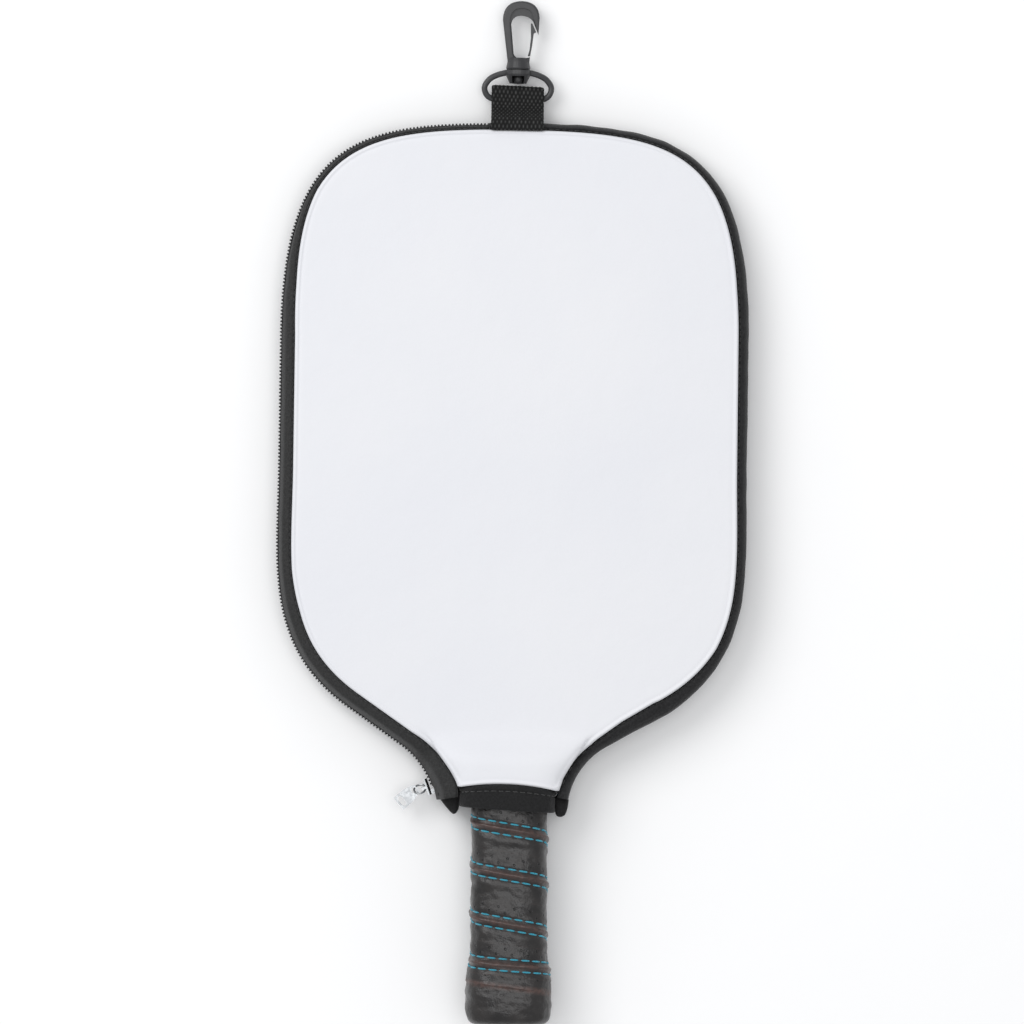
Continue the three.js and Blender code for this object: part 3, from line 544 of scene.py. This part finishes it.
def fill_outline(boundary, rings, spacing):
    """Points and triangles of a flat sheet, with rows of points along its edge."""
    ahead = np.roll(boundary, -1, axis=0) - np.roll(boundary, 1, axis=0)
    ahead /= np.linalg.norm(ahead, axis=1, keepdims=True)
    inward = np.stack([-ahead[:, 1], ahead[:, 0]], axis=1)
    found = [boundary]
    for ring in rings:
        moved = boundary + inward * ring
        distance, inside = edge_distance(moved, boundary)
        found.append(moved[inside & (distance > ring - 0.03)])
    low, high = boundary.min(0), boundary.max(0)
    x, y = np.meshgrid(np.arange(low[0], high[0], spacing), np.arange(low[1], high[1], spacing * 0.87))
    x = x + spacing / 2 * (np.arange(len(x)) % 2)[:, None]
    lattice = np.stack([x.ravel(), y.ravel()], axis=1)
    distance, inside = edge_distance(lattice, boundary)
    found.append(lattice[inside & (distance > rings[-1] + spacing * 0.6)])
    points = np.concatenate(found)
    count = len(boundary)
    edges = [(i, (i + 1) % count) for i in range(count)]
    result = delaunay_2d_cdt([Vector(p) for p in points], edges, [list(range(count))], 1, 1e-5)
    flat = np.array([tuple(p) for p in result[0]])
    return flat, [tuple(face) for face in result[2]]


CROWN_LIMIT = 1.0  # most that the paddle's padding lifts the front panel
SEWN_WIDTH = 2.6
SETTLING_FRAMES = 20


def crown_by_cloth(boundary):
    """Rise of a neoprene sheet that is sewn down along its edge and pressed up by the paddle's
    padding, from a short cloth simulation on a coarse copy. Returns places and rises."""
    flat, faces = fill_outline(boundary[::4], [2.5], 6.0)
    distance, _ = edge_distance(flat, boundary)
    heights = front_underside(flat[:, 0], flat[:, 1])
    scene = bpy.context.scene
    coarse = mesh_object("cloth_trial", np.column_stack([flat, heights]), faces, MATERIALS["foam"])
    group = coarse.vertex_groups.new(name="sewn")
    group.add([i for i, d in enumerate(distance) if d < SEWN_WIDTH], 1.0, "REPLACE")
    cloth = coarse.modifiers.new("Cloth", "CLOTH")
    cloth.settings.quality = 5
    cloth.settings.mass = 0.3
    cloth.settings.tension_stiffness = 15
    cloth.settings.compression_stiffness = 15
    cloth.settings.bending_stiffness = 8
    cloth.settings.vertex_group_mass = "sewn"
    cloth.settings.use_pressure = True
    cloth.settings.uniform_pressure_force = 4
    cloth.settings.effector_weights.gravity = 0
    for number in range(1, SETTLING_FRAMES + 1):
        scene.frame_set(number)
    settled = coarse.evaluated_get(bpy.context.evaluated_depsgraph_get())
    rise = np.array([tuple(v.co) for v in settled.data.vertices])[:, 2] / MM - heights
    print("cloth rise, mm:", rise.min(), rise.max())
    bpy.data.objects.remove(coarse)
    scene.frame_set(1)
    highest = max(rise.max(), 1e-6)
    return flat, rise * min(1.0, CROWN_LIMIT / highest)


def spread(places, values, at, reach=6.0):
    """Values known at some places, smoothly carried over to others."""
    out = []
    for chunk in np.array_split(at, max(1, len(at) // 2000)):
        gap = ((chunk[:, None] - places[None]) ** 2).sum(-1)
        weight = np.exp(-gap / (2 * reach * reach)) + 1e-12
        out.append((weight * values).sum(1) / weight.sum(1))
    return np.concatenate(out)


RIM_ROWS = [0.15, 0.35, 0.6, 0.9, 1.3, 1.7, 2.1, 2.6, 3.4, 4.6, 6.4]


def rim_profile(distance):
    """The rolled edge of the neoprene and the shallow groove of the seam inside it."""
    roll = -RIM_DROP * (1 - np.minimum(1, distance / RIM_DROP)) ** 2
    bead = 0.28 * np.exp(-((distance - 1.0) / 0.55) ** 2)
    groove = -0.3 * np.exp(-((distance - 2.15) / 0.5) ** 2)
    return roll + bead + groove


def panel(name, surface, thickness, material, spacing=2.6):
    """A sheet whose outer face is surface(x, y, distance from the edge)."""
    boundary = panel_boundary(1.5)
    flat, faces = fill_outline(boundary, RIM_ROWS, spacing)
    distance, _ = edge_distance(flat, boundary)
    outer = surface(flat, distance)
    inner = surface(flat, np.maximum(distance, 6.0)) - thickness
    rim = np.maximum(0, 1 - distance / 0.6) * 0.25 * np.sign(thickness)
    count = len(flat)
    points = np.concatenate([np.column_stack([flat, outer]), np.column_stack([flat, inner + rim])])
    edges = [edge for face in faces for edge in zip(face, face[1:] + face[:1])]
    shared = set(edges)
    all_faces = list(faces) + [tuple(i + count for i in reversed(face)) for face in faces]
    all_faces += [(b, a, a + count, b + count) for a, b in edges if (b, a) not in shared]
    return mesh_object(name, points, all_faces, material)


def make_panels():
    boundary = panel_boundary(1.5)
    places, rises = crown_by_cloth(boundary)

    def front(flat, distance):
        return (front_underside(flat[:, 0], flat[:, 1]) + PANEL_THICKNESS + rim_profile(distance)
                + spread(places, rises, flat) * smoothstep(distance, 1.5, 9))

    def back(flat, distance):
        waves = 0.12 + 0.12 * np.sin(flat[:, 0] / 17) * np.cos(flat[:, 1] / 23)
        return -rim_profile(distance) * 0.8 + 0.3 + waves * smoothstep(distance, 3, 20) - 0.25

    front_panel = panel("front_panel", front, PANEL_THICKNESS, MATERIALS["white_neoprene"])
    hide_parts("front_panel_flap", "front_panel_fixed")
    across_fold(front_panel)
    neoprene = MATERIALS["black_neoprene"]
    back_panel = panel("back_panel_cloth", back, 0.3 - PANEL_THICKNESS, neoprene, spacing=3.2)
    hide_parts("back_panel")
    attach(back_panel, "root")


def across_fold(piece):
    """Bakes the placement of a piece of the front into its mesh; the piece is not bent."""
    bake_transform(piece)


# ---------------------------------------------------------------------------------------
# Side walls: gusset, zipper tapes and coil
# ---------------------------------------------------------------------------------------

def wall(name, side, start, end, section, material, step=1.3, ripple=0.0):
    """A strip of the side wall. section gives a closed loop of [inside, height] points."""
    outline = OUTLINE[side]
    t = np.linspace(start, end, max(3, int((end - start) * outline.length / step)))
    points, outward, _ = outline.at(t)
    widths = outline.width(t)
    edges = points - outward * widths[:, None]
    tops = front_underside(edges[:, 0], edges[:, 1]) + PANEL_THICKNESS - RIM_DROP
    if len(tops) > 9:
        tops = np.convolve(np.pad(tops, 2, mode="edge"), np.ones(5) / 5, mode="valid")
    loops = []
    for point, out, width, top in zip(points, outward, widths, tops):
        inside, z = smooth_line(section(width, top), 4, closed=True).T
        sway = ripple * noise.noise(Vector((point[0] * 0.11, point[1] * 0.11, 3.0)))
        spots = point - np.outer(inside + sway, out)
        loops.append(np.column_stack([spots, z]))
    return sweep(name, loops, material)


def gusset_section(width, top):
    """A strip turned in at both seams and bulging between them."""
    near, far = width - 0.15, width - 0.9
    return [
        (near, top - 1.5), (far, top - 1.15), (width - 1.5, top - 0.15), (width * 0.52, top - 0.25),
        (width * 0.27, top - 1.9), (width * 0.08, top - 5), (0, ZIP_Z), (width * 0.08, 5),
        (width * 0.27, 2.3), (width * 0.52, 0.9), (width - 1.5, 0.35), (far, 1.0), (near, 1.4),
        (width - 0.3, 3), (width * 0.35 + 1.8, 5.2), (2, ZIP_Z), (width * 0.35 + 1.8, top - 5.2),
        (width - 0.3, top - 2.6),
    ]


TAPE_INSIDE = 2.3


def front_tape_section(width, top):
    """Stitched groove beside the panel, a flat tape, and a turned edge behind the coil."""
    return [
        (width - 0.15, top - 1.5), (width - 0.7, top - 1.25), (width - 1.4, top - 0.45),
        (width * 0.62, top - 0.8), (width * 0.4, top - 2.2), (1.55, ZIP_Z + 5.0),
        (1.5, ZIP_Z + 4.0), (TAPE_INSIDE, ZIP_Z + 3.2), (TAPE_INSIDE, ZIP_Z + 1.0),
        (TAPE_INSIDE + 0.8, ZIP_Z + 0.8), (TAPE_INSIDE + 0.9, ZIP_Z + 4),
        (width - 1.2, top - 3.0), (width - 0.3, top - 2.6),
    ]


def back_tape_section(width, top):
    """The same under the zipper, where the panel's edge has one height all round."""
    return [
        (width - 0.15, 1.4), (width - 0.7, 1.15), (width - 1.4, 0.5), (width * 0.62, 0.8),
        (width * 0.4, 2.2), (1.55, ZIP_Z - 5.0), (1.5, ZIP_Z - 4.0), (TAPE_INSIDE, ZIP_Z - 3.2),
        (TAPE_INSIDE, ZIP_Z - 1.0), (TAPE_INSIDE + 0.8, ZIP_Z - 0.8), (TAPE_INSIDE + 0.9, ZIP_Z - 4),
        (width - 1.2, 3.4), (width - 0.3, 2.8),
    ]


COIL_PITCH = 1.64
COIL_RADIUS = 0.4


def coil_tooth(direction, set_back):
    """One turn of the coil: [along, inside, from the middle of the zip] points."""
    path = [
        (-0.34, 2.2, 2.6), (-0.26, 1.3, 3.1), (-0.14, 0.6, 2.75), (-0.04, 0.5, 1.5), (0, 0.55, 0.3),
        (0.02, 0.9, -0.45), (0.1, 1.5, -0.35), (0.2, 1.9, 0.4), (0.32, 2.0, 1.8),
    ]
    line = smooth_line([(u, -max(inside, 0.5 + set_back), z * direction) for u, inside, z in path], 2)
    radii = np.interp(np.arange(len(line)) / 2, [0, 3, 5, 8], [0.34, COIL_RADIUS, 0.46, 0.34])
    return tube(line, radii, 7)


def outline_places(side, start, end, pitch, shift=0.0, inset=0.0, height=None):
    """Frames along the outline: along it, out of the case, and up."""
    outline = OUTLINE[side]
    ways = np.arange(start * outline.length + shift, end * outline.length, pitch)
    t = ways / outline.length
    points, outward, ahead = outline.at(t)
    places = []
    for point, out, forward, width in zip(points, outward, ahead, outline.width(t)):
        edge = point - out * width
        top = float(front_underside(*edge)) + PANEL_THICKNESS - RIM_DROP
        spot = point - out * (inset(width) if callable(inset) else inset)
        z = height(width, top) if callable(height) else height
        places.append(((*spot, z), [(*forward, 0), (*out, 0), (0, 0, 1)]))
    return places


def make_coil(name, node, body, direction, shift, set_back):
    places = outline_places("left", ZIP_START, ZIP_END, COIL_PITCH, shift, 0.0, ZIP_Z)
    coil = copies(name, coil_tooth(direction, set_back), places, MATERIALS["coil_nylon"])
    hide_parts(node)
    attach(coil, body)


def replace_with(piece, nodes_replaced, body):
    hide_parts(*nodes_replaced)
    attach(piece, body)
    return piece


def make_walls():
    tape, neoprene = MATERIALS["black_tape"], MATERIALS["black_neoprene"]
    gusset = wall("gusset_cloth", "right", 0, 1, gusset_section, neoprene, ripple=0.35)
    replace_with(gusset, ["right_gusset"], "root")
    end = wall("gusset_end_cloth", "left", 0.002, ZIP_START - 0.0002, gusset_section, neoprene)
    replace_with(end, ["top_gusset_end"], "root")
    front = wall("front_tape_cloth", "left", ZIP_START, 1, front_tape_section, tape, ripple=0.25)
    replace_with(front, ["front_zipper_tape"], "front_flap")
    back = wall("back_tape_cloth", "left", ZIP_START, 1, back_tape_section, tape, ripple=0.25)
    replace_with(back, ["back_zipper_tape"], "root")
    make_coil("front_coil_teeth", "front_zipper_coil", "front_flap", 1, 0.4, 0.0)
    make_coil("back_coil_teeth", "back_zipper_coil", "root", -1, 0.4 + COIL_PITCH / 2, 0.75)

    shape = stitch_shape(2.1, 0.2)
    groove = {"inset": lambda width: width - 0.75, "height": lambda width, top: top - 1.1}
    seam = outline_places("left", ZIP_START + 0.005, 0.985, 3.0, **groove)
    stitches = copies("front_tape_stitches", shape, seam, MATERIALS["black_thread"])
    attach(stitches, "front_flap")
    seam = outline_places("right", 0.03, 0.985, 3.0, **groove)
    stitches = copies("gusset_stitches", shape, seam, MATERIALS["black_thread"])
    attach(stitches, "root")


# ---------------------------------------------------------------------------------------
# Neck of the case
# ---------------------------------------------------------------------------------------

def superellipse(angles, half_width, half_height, power):
    c, s = np.cos(angles), np.sin(angles)
    return (half_width * np.sign(c) * np.abs(c) ** (2 / power),
            half_height * np.sign(s) * np.abs(s) ** (2 / power))


# Down the neck binding from the mouth: [share of its height, how far it stands out]. A rolled
# lip, the groove of the stitches, and a soft lower edge.
BINDING = [
    (0.0, -0.7), (0.015, -0.1), (0.06, 0.45), (0.13, 0.62), (0.19, 0.4),
    (0.235, -0.12), (0.27, -0.1), (0.34, 0.12),
    (0.5, 0.2), (0.72, 0.25), (0.88, 0.35), (0.95, 0.25), (0.99, -0.15), (1.0, -0.6),
]
STITCH_LINE = 0.25


def binding_end(x):
    """Lower edge of the neck binding, a little lower at the right."""
    return NECK_END_Y - 1.15 * x / NECK_HALF_WIDTH


def neck_binding(name, start, end):
    angles = np.linspace(start, end, 110)
    x, z = superellipse(angles, NECK_HALF_WIDTH, NECK_MIDDLE_Z, NECK_POWER)
    inner_x, inner_z = superellipse(
        angles, NECK_HALF_WIDTH - BAND_THICKNESS, NECK_MIDDLE_Z - BAND_THICKNESS, NECK_POWER)
    out = np.stack([x - inner_x, z - inner_z], axis=1) / BAND_THICKNESS
    profile = smooth_line(BINDING, 4)
    loops = []
    for i in range(len(angles)):
        top, bottom = mouth_y(x[i]) - GAP, binding_end(x[i])
        y = top + (bottom - top) * profile[:, 0]
        wrinkle = [0.22 * noise.noise(Vector((x[i] * 0.35, v * 0.5, z[i] * 0.35))) for v in y]
        stand = np.minimum(profile[:, 1] + wrinkle, 0.9)
        outer = np.column_stack([x[i] + out[i, 0] * stand, y, NECK_MIDDLE_Z + z[i] + out[i, 1] * stand])
        outer[:, 2] = np.clip(outer[:, 2], 0.05, None)
        inner_y = np.array([bottom + 0.3, (top + bottom) / 2, top - 0.3])
        inner = np.column_stack([inner_x[i] + 0 * inner_y, inner_y, NECK_MIDDLE_Z + inner_z[i] + 0 * inner_y])
        loops.append(np.concatenate([outer, inner]))
    return sweep(name, loops, MATERIALS["neck_tape"])


def binding_stitches(name, start, end):
    angles = np.linspace(start, end, 400)
    x, z = superellipse(angles, NECK_HALF_WIDTH, NECK_MIDDLE_Z, NECK_POWER)
    top = mouth_y(x) - GAP
    y = top + (binding_end(x) - top) * STITCH_LINE
    line = np.column_stack([x, y, NECK_MIDDLE_Z + z])
    normals = np.column_stack([x / NECK_HALF_WIDTH ** 2, 0 * x, z / NECK_MIDDLE_Z ** 2])
    normals /= np.linalg.norm(normals, axis=1, keepdims=True)
    places = stitch_places(line, normals, 3.3)
    return copies(name, stitch_shape(2.3, 0.24), places, MATERIALS["black_thread"])


# Up a folded end: [height, size of its outline there]
STUB_ROUNDING = ((5.0, 0.55), (5.6, 0.86), (7.5, 1.0), (13, 1.02), (19, 1.0), (21.4, 0.88), (22.2, 0.5))


def folded_stub(name, sign, points, node):
    """A folded end of the side wall: a soft lump with a crease down its middle."""
    outline = smooth_line(points, 6, closed=True) * [sign, 1]
    centre = outline.mean(0)
    loops = []
    for z, share in STUB_ROUNDING:
        spots = centre + (outline - centre) * share
        crease = 0.7 * np.exp(-((spots[:, 0] - centre[0]) / 1.1) ** 2) if z > 20 else 0.0
        loops.append(np.column_stack([spots, z - crease + 0 * spots[:, 0]]))
    stub = sweep(name, smooth_line(loops, 3), MATERIALS["neck_tape"])
    return replace_with(stub, [node], "root")


def make_neck():
    seam = math.radians(1.5)
    front = neck_binding("front_neck_binding", seam, math.pi - seam)
    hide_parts("front_neck_band_flap", "front_neck_band_fixed")
    across_fold(front)
    back = neck_binding("back_neck_binding", -math.pi + seam, -seam)
    replace_with(back, ["back_neck_band"], "root")
    stitches = binding_stitches("front_binding_stitches", seam + 0.1, math.pi - seam - 0.1)
    across_fold(stitches)
    stitches = binding_stitches("back_binding_stitches", -math.pi + seam + 0.1, -seam - 0.1)
    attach(stitches, "root")
    folded_stub("left_stub_cloth", -1, [
        (22.2, -128.2), (22.1, -134), (22.5, -137.2), (24.3, -139),
        (26.6, -137.4), (31.2, -131.6), (31.3, -128.6),
    ], "zipper_end_stub")
    folded_stub("right_stub_cloth", 1, [
        (22.2, -130.5), (22.1, -136), (22.6, -138.8), (24.6, -139.7),
        (26.8, -138.4), (28.0, -134.4), (27.6, -131),
    ], "gusset_end_stub")


make_panels()
make_walls()
make_neck()

# ---------------------------------------------------------------------------------------
# Webbing loop
# ---------------------------------------------------------------------------------------

WEBBING_HALF_WIDTH = 12.05
WEBBING_THICKNESS = 1.45
RING_BAR = np.array([193.0, 7.0])  # centre of the loop's end, as [y, z]
LOOP_RADIUS = 2.5
BUMP_PITCH = (1.85, 3.6)  # across the strap and along it


def webbing_path():
    """The strap's middle as [y, z]: off the front seam, round the ring's bar and back under."""
    turn = np.radians([90, 60, 30, 0, -30, -60, -90])
    end = RING_BAR + LOOP_RADIUS * np.column_stack([np.cos(turn), np.sin(turn)])
    over = [
        (175.2, 20.6), (177.6, 20.9), (180.0, 19.6), (182.0, 16.2),
        (184.2, 12.2), (186.8, 9.9), (189.6, 9.5),
    ]
    under = [
        (189.6, 4.5), (186.8, 4.9), (184.4, 7.0), (182.6, 10.6),
        (180.8, 15.0), (179.0, 18.2), (176.4, 19.3),
    ]
    return smooth_line(over + [tuple(p) for p in end] + under, 7)


def make_webbing():
    path = webbing_path()
    way = np.concatenate([[0], np.cumsum(np.linalg.norm(np.diff(path, axis=0), axis=1))])
    stations = np.arange(0, way[-1], 0.34)
    path = np.column_stack([np.interp(stations, way, path[:, k]) for k in (0, 1)])
    ahead = np.gradient(path, axis=0)
    ahead /= np.linalg.norm(ahead, axis=1, keepdims=True)
    out = np.column_stack([-ahead[:, 1], ahead[:, 0]])
    x = np.linspace(-1, 1, 83)
    loops, tip_highlight = [], []
    for i, s in enumerate(stations):
        edge = WEBBING_HALF_WIDTH + 0.22 * noise.noise(Vector((s * 0.9, 1.0, 0.0)))
        places = x * edge
        weave = np.cos(2 * np.pi * places / BUMP_PITCH[0]) * np.cos(2 * np.pi * s / BUMP_PITCH[1])
        wobble = np.array([noise.noise(Vector((v * 0.6, s * 0.6, 5.0))) for v in places])
        tip = np.clip(weave + 0.35 * wobble, 0, 1) ** 1.4
        selvedge = np.sqrt(np.clip(1 - np.abs(x) ** 24, 0, 1))
        sides = []
        for face in (1, -1):
            stand = face * selvedge * (WEBBING_THICKNESS / 2 - 0.12 + 0.26 * tip)
            spots = path[i] + out[i] * stand[:, None]
            spots[:, 0] -= 0.035 * places * smoothstep(path[i, 0], 180, 192)
            sides.append(np.column_stack([places, spots]))
        loops.append(np.concatenate([sides[0], sides[1][::-1]]))
        tip_highlight.append(np.concatenate([tip, tip[::-1]]))
    strap = sweep("webbing_strap", loops, MATERIALS["black_webbing"])
    # the tip heights also drive the painted highlight on the weave's raised tips
    add_values(strap, "tip", np.concatenate(tip_highlight))
    replace_with(strap, ["webbing_loop"], "root")


# ---------------------------------------------------------------------------------------
# Handle: leather wrap with a ridged, double-stitched spiral seam
# ---------------------------------------------------------------------------------------

GRIP_POWER = 3.0
# The handle's [y, half width, half height], down to the rounded butt.
GRIP_STATIONS = [
    (-119.3, 17.1, 13.5), (-150, 17.2, 13.6), (-200, 17.4, 13.8), (-206, 17.9, 14.1),
    (-211, 18.9, 14.8), (-216, 19.4, 15.2), (-224, 19.6, 15.4), (-229, 19.5, 15.3),
    (-232, 19.0, 14.8), (-233.8, 18.0, 13.6), (-234.8, 16.6, 12.2), (-235.3, 14.6, 10.2),
]
GRIP_TOP_Y = GRIP_STATIONS[0][0]
GRIP_WALL = 1.8
ROUND_HANDLE = 250  # points round the handle
# The spiral seam's height at each half turn, from one turn above the first ridge that shows.
# Whole numbers are at the handle's left and halves at its right.
SEAM = [
    (-1, -120.6), (-0.5, -130.0), (0, -141.3), (0.5, -150.3), (1, -162.0), (1.5, -171.2),
    (2, -184.2), (2.5, -193.7), (3, -205.0), (3.5, -209.8), (4, -214.7), (4.5, -221.5), (5, -229),
]
SEAM_TURNS, SEAM_HEIGHTS = smooth_line(SEAM, 8).T
SEAM_SLOPE = math.cos(math.radians(13))
STITCH_OFFSET = 2.6
STITCH_PITCH = 5.25
PADDLE_TURN = Matrix.Rotation(-PADDLE_TILT, 3, "X") @ Matrix.Rotation(PADDLE_YAW, 3, "Z")


def in_paddle_place(points):
    turn = np.array(PADDLE_TURN)
    return (np.asarray(points) - np.array([0, PADDLE_PIVOT.y, 0])) @ turn.T + np.array(PADDLE_PIVOT)


def handle_angles(count):
    """Angles that space points evenly round the handle, from its left over its front."""
    fine = np.linspace(math.pi, -math.pi, 8001)
    x, z = superellipse(fine, 17.3, 13.7, GRIP_POWER)
    way = np.concatenate([[0], np.cumsum(np.hypot(np.diff(x), np.diff(z)))])
    return np.interp(np.arange(count) / count * way[-1], way, fine), way[-1]


def seam_place(turn, y):
    """Distance above the nearest ridge, and the way along the seam in turns."""
    best = np.full(np.shape(y), 1e9)
    whole = np.zeros(np.shape(y))
    for number in range(-1, 5):
        gap = y - np.interp(turn + number, SEAM_TURNS, SEAM_HEIGHTS)
        nearer = np.abs(gap) < np.abs(best)
        best = np.where(nearer, gap, best)
        whole = np.where(nearer, number + turn, whole)
    return best * SEAM_SLOPE, whole


def leather_relief(across, along, lumps):
    """The sewn ridge between two rows of stitches, and the plain lap that follows it at the butt."""
    sewn = 1 - smoothstep(along, 3.55, 3.9)
    ridge = 0.95 * np.exp(-(across / 0.95) ** 2) * sewn
    dents = -0.3 * np.exp(-((np.abs(across) - STITCH_OFFSET) / 0.55) ** 2) * sewn
    bulge = 0.38 * np.exp(-((across + 5.2) / 2.0) ** 2) + 0.15 * np.exp(-((across - 5.0) / 2.2) ** 2)
    lap = 0.45 * smoothstep(across, -0.5, 0.25) * np.exp(-np.maximum(across, 0) / 5)
    lap = lap * smoothstep(along, 3.7, 4) * (1 - smoothstep(along, 4.25, 4.45))
    return ridge + dents + bulge + lap + lumps


def handle_half_sizes(y):
    stations = smooth_line(GRIP_STATIONS, 5)[::-1]
    return (np.interp(y, stations[:, 0], stations[:, k]) for k in (1, 2))


def handle_lumps(x, y, z):
    places = list(zip(x, y, z))
    broad = np.array([noise.noise(Vector((a * 0.1, b * 0.2, c * 0.1))) for a, b, c in places])
    small = np.array([noise.noise(Vector((a * 0.3, b * 0.42, c * 0.3))) for a, b, c in places])
    return 0.5 * broad + 0.16 * small


def make_handle():
    angles, perimeter = handle_angles(ROUND_HANDLE)
    turn = np.arange(ROUND_HANDLE) / ROUND_HANDLE
    rows = np.concatenate([np.arange(GRIP_TOP_Y, -233, -0.42), np.linspace(-233.2, -235.3, 14)])
    inner_rows = np.linspace(-226, GRIP_TOP_Y, 12)
    loops, across_all, along_all = [], [], []
    for y in inner_rows:
        half_width, half_height = (float(v) for v in handle_half_sizes(y))
        x, z = superellipse(angles, half_width - GRIP_WALL, half_height - GRIP_WALL, GRIP_POWER)
        loops.append(np.column_stack([x, y + 0 * x, z]))
        across_all.append(10 + 0 * x)
        along_all.append(turn)
    for y in rows:
        half_width, half_height = (float(v) for v in handle_half_sizes(y))
        x, z = superellipse(angles, half_width, half_height, GRIP_POWER)
        across, along = seam_place(turn, y + 0 * x)
        fade = float(smoothstep(-y, 119.3, 123) * (1 - smoothstep(-y, 231, 235)))
        relief = leather_relief(across, along, handle_lumps(x, y + 0 * x, z)) * fade
        x, z = superellipse(angles, half_width + relief, half_height + relief, GRIP_POWER)
        loops.append(np.column_stack([x, y + 0 * x, z]))
        across_all.append(across)
        along_all.append(along * perimeter)
    placed = in_paddle_place(np.array(loops).reshape(-1, 3)).reshape(len(loops), -1, 3)
    wrap = sweep("handle_leather", placed, MATERIALS["grip_leather"])
    add_values(wrap, "wrap_across", np.concatenate(across_all))
    add_values(wrap, "wrap_along", np.concatenate(along_all))
    replace_with(wrap, ["grip_wrap", "butt_cap"], "root")
    make_seam_stitches("upper_seam_stitches", STITCH_OFFSET, 0.0, angles)
    make_seam_stitches("lower_seam_stitches", -STITCH_OFFSET, 2.1, angles)


def make_seam_stitches(name, offset, shift, angles):
    turns = np.arange(-0.75, 3.62, 0.002)
    theta = np.interp(turns % 1, np.arange(ROUND_HANDLE + 1) / ROUND_HANDLE, np.append(angles, -math.pi))
    y = np.interp(turns, SEAM_TURNS, SEAM_HEIGHTS) + offset / SEAM_SLOPE
    half_width, half_height = handle_half_sizes(y)
    x, z = superellipse(theta, half_width, half_height, GRIP_POWER)
    relief = leather_relief(offset + 0 * x, turns, handle_lumps(x, y, z)) + 0.12
    x, z = superellipse(theta, half_width + relief, half_height + relief, GRIP_POWER)
    normals = np.column_stack([x * np.abs(x) / half_width ** 3, 0 * x, z * np.abs(z) / half_height ** 3])
    normals /= np.linalg.norm(normals, axis=1, keepdims=True)
    line = in_paddle_place(np.column_stack([x, y, z]))
    normals = normals @ np.array(PADDLE_TURN).T
    places = stitch_places(line, normals, STITCH_PITCH, shift)
    stitches = copies(name, stitch_shape(4.1, 0.46, 0.1), places, MATERIALS["blue_thread"])
    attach(stitches, "root")


# ---------------------------------------------------------------------------------------
# Finishes of the rigid parts
# ---------------------------------------------------------------------------------------

CARRIED_OVER = {
    "slider_body": "zinc_metal", "pull_link_ring": "zinc_metal", "pull_tab": "zinc_metal",
    "swivel_ring": "hook_plastic", "snap_hook": "hook_plastic", "hook_gate": "hook_plastic",
    "paddle_core": "honeycomb", "paddle_front_face": "carbon_face", "paddle_back_face": "carbon_face",
    "edge_guard": "edge_rubber", "handle_tang": "honeycomb", "handle_front_pallet": "foam",
    "handle_back_pallet": "foam", "grip_collar": "edge_rubber",
}


def finish_rigid_parts():
    for name, material in CARRIED_OVER.items():
        nodes[name].data.materials.clear()
        nodes[name].data.materials.append(MATERIALS[material])


make_webbing()
make_handle()
finish_rigid_parts()

# ---------------------------------------------------------------------------------------
# Floor, light and camera
# ---------------------------------------------------------------------------------------

FLOOR_REACH = 20000
FLOOR_Z = -0.4


def make_stage():
    corners = [(x * FLOOR_REACH, y * FLOOR_REACH, FLOOR_Z) for x, y in ((-1, -1), (1, -1), (1, 1), (-1, 1))]
    floor = mesh_object("floor", corners, [(0, 1, 2, 3)], floor_paint())
    world = bpy.data.worlds.new("studio")
    world.use_nodes = True
    world.node_tree.nodes["Background"].inputs["Color"].default_value = (0.97, 0.98, 1.0, 1)
    world.node_tree.nodes["Background"].inputs["Strength"].default_value = 0.6
    bpy.context.scene.world = world
    lamps = [
        ("key_light", (-1.1, 0.9, 1.7), 1.5, 19),
        ("top_light", (0.2, 0.0, 2.6), 1.8, 18),
    ]
    for name, place, size, power in lamps:
        data = bpy.data.lights.new(name, "AREA")
        data.shape, data.size, data.energy = "DISK", size, power
        lamp = bpy.data.objects.new(name, data)
        lamp.location = place
        lamp.rotation_euler = (Vector((0, 0, 0)) - Vector(place)).to_track_quat("-Z", "Y").to_euler()
        bpy.context.scene.collection.objects.link(lamp)


def floor_paint():
    paint = Paint("floor_paper", Roughness=0.9)
    speckle = paint.noise(paint.cad_place(), 0.05, 2)
    paint.colour(paint.mix(speckle, (0.945, 0.945, 0.945), (0.955, 0.955, 0.955)))
    return paint.material


VIEW_WIDTH = 0.47104  # of the picture, in metres at FOCUS_HEIGHT
CAMERA_DISTANCE = 4.0
FOCUS_HEIGHT = 0.0105
CAMERA_X = 0.00023
CAMERA_TURN = math.radians(0.87)
SENSOR_WIDTH = 36


def make_camera():
    data = bpy.data.cameras.new("camera")
    data.sensor_width = SENSOR_WIDTH
    data.lens = SENSOR_WIDTH * CAMERA_DISTANCE / VIEW_WIDTH
    data.clip_end = 50
    camera = bpy.data.objects.new("camera", data)
    camera.location = (CAMERA_X, 0, CAMERA_DISTANCE + FOCUS_HEIGHT)
    camera.rotation_euler = (0, 0, CAMERA_TURN)
    bpy.context.scene.collection.objects.link(camera)
    bpy.context.scene.camera = camera
    bpy.context.scene.view_settings.view_transform = "Standard"


make_stage()
make_camera()
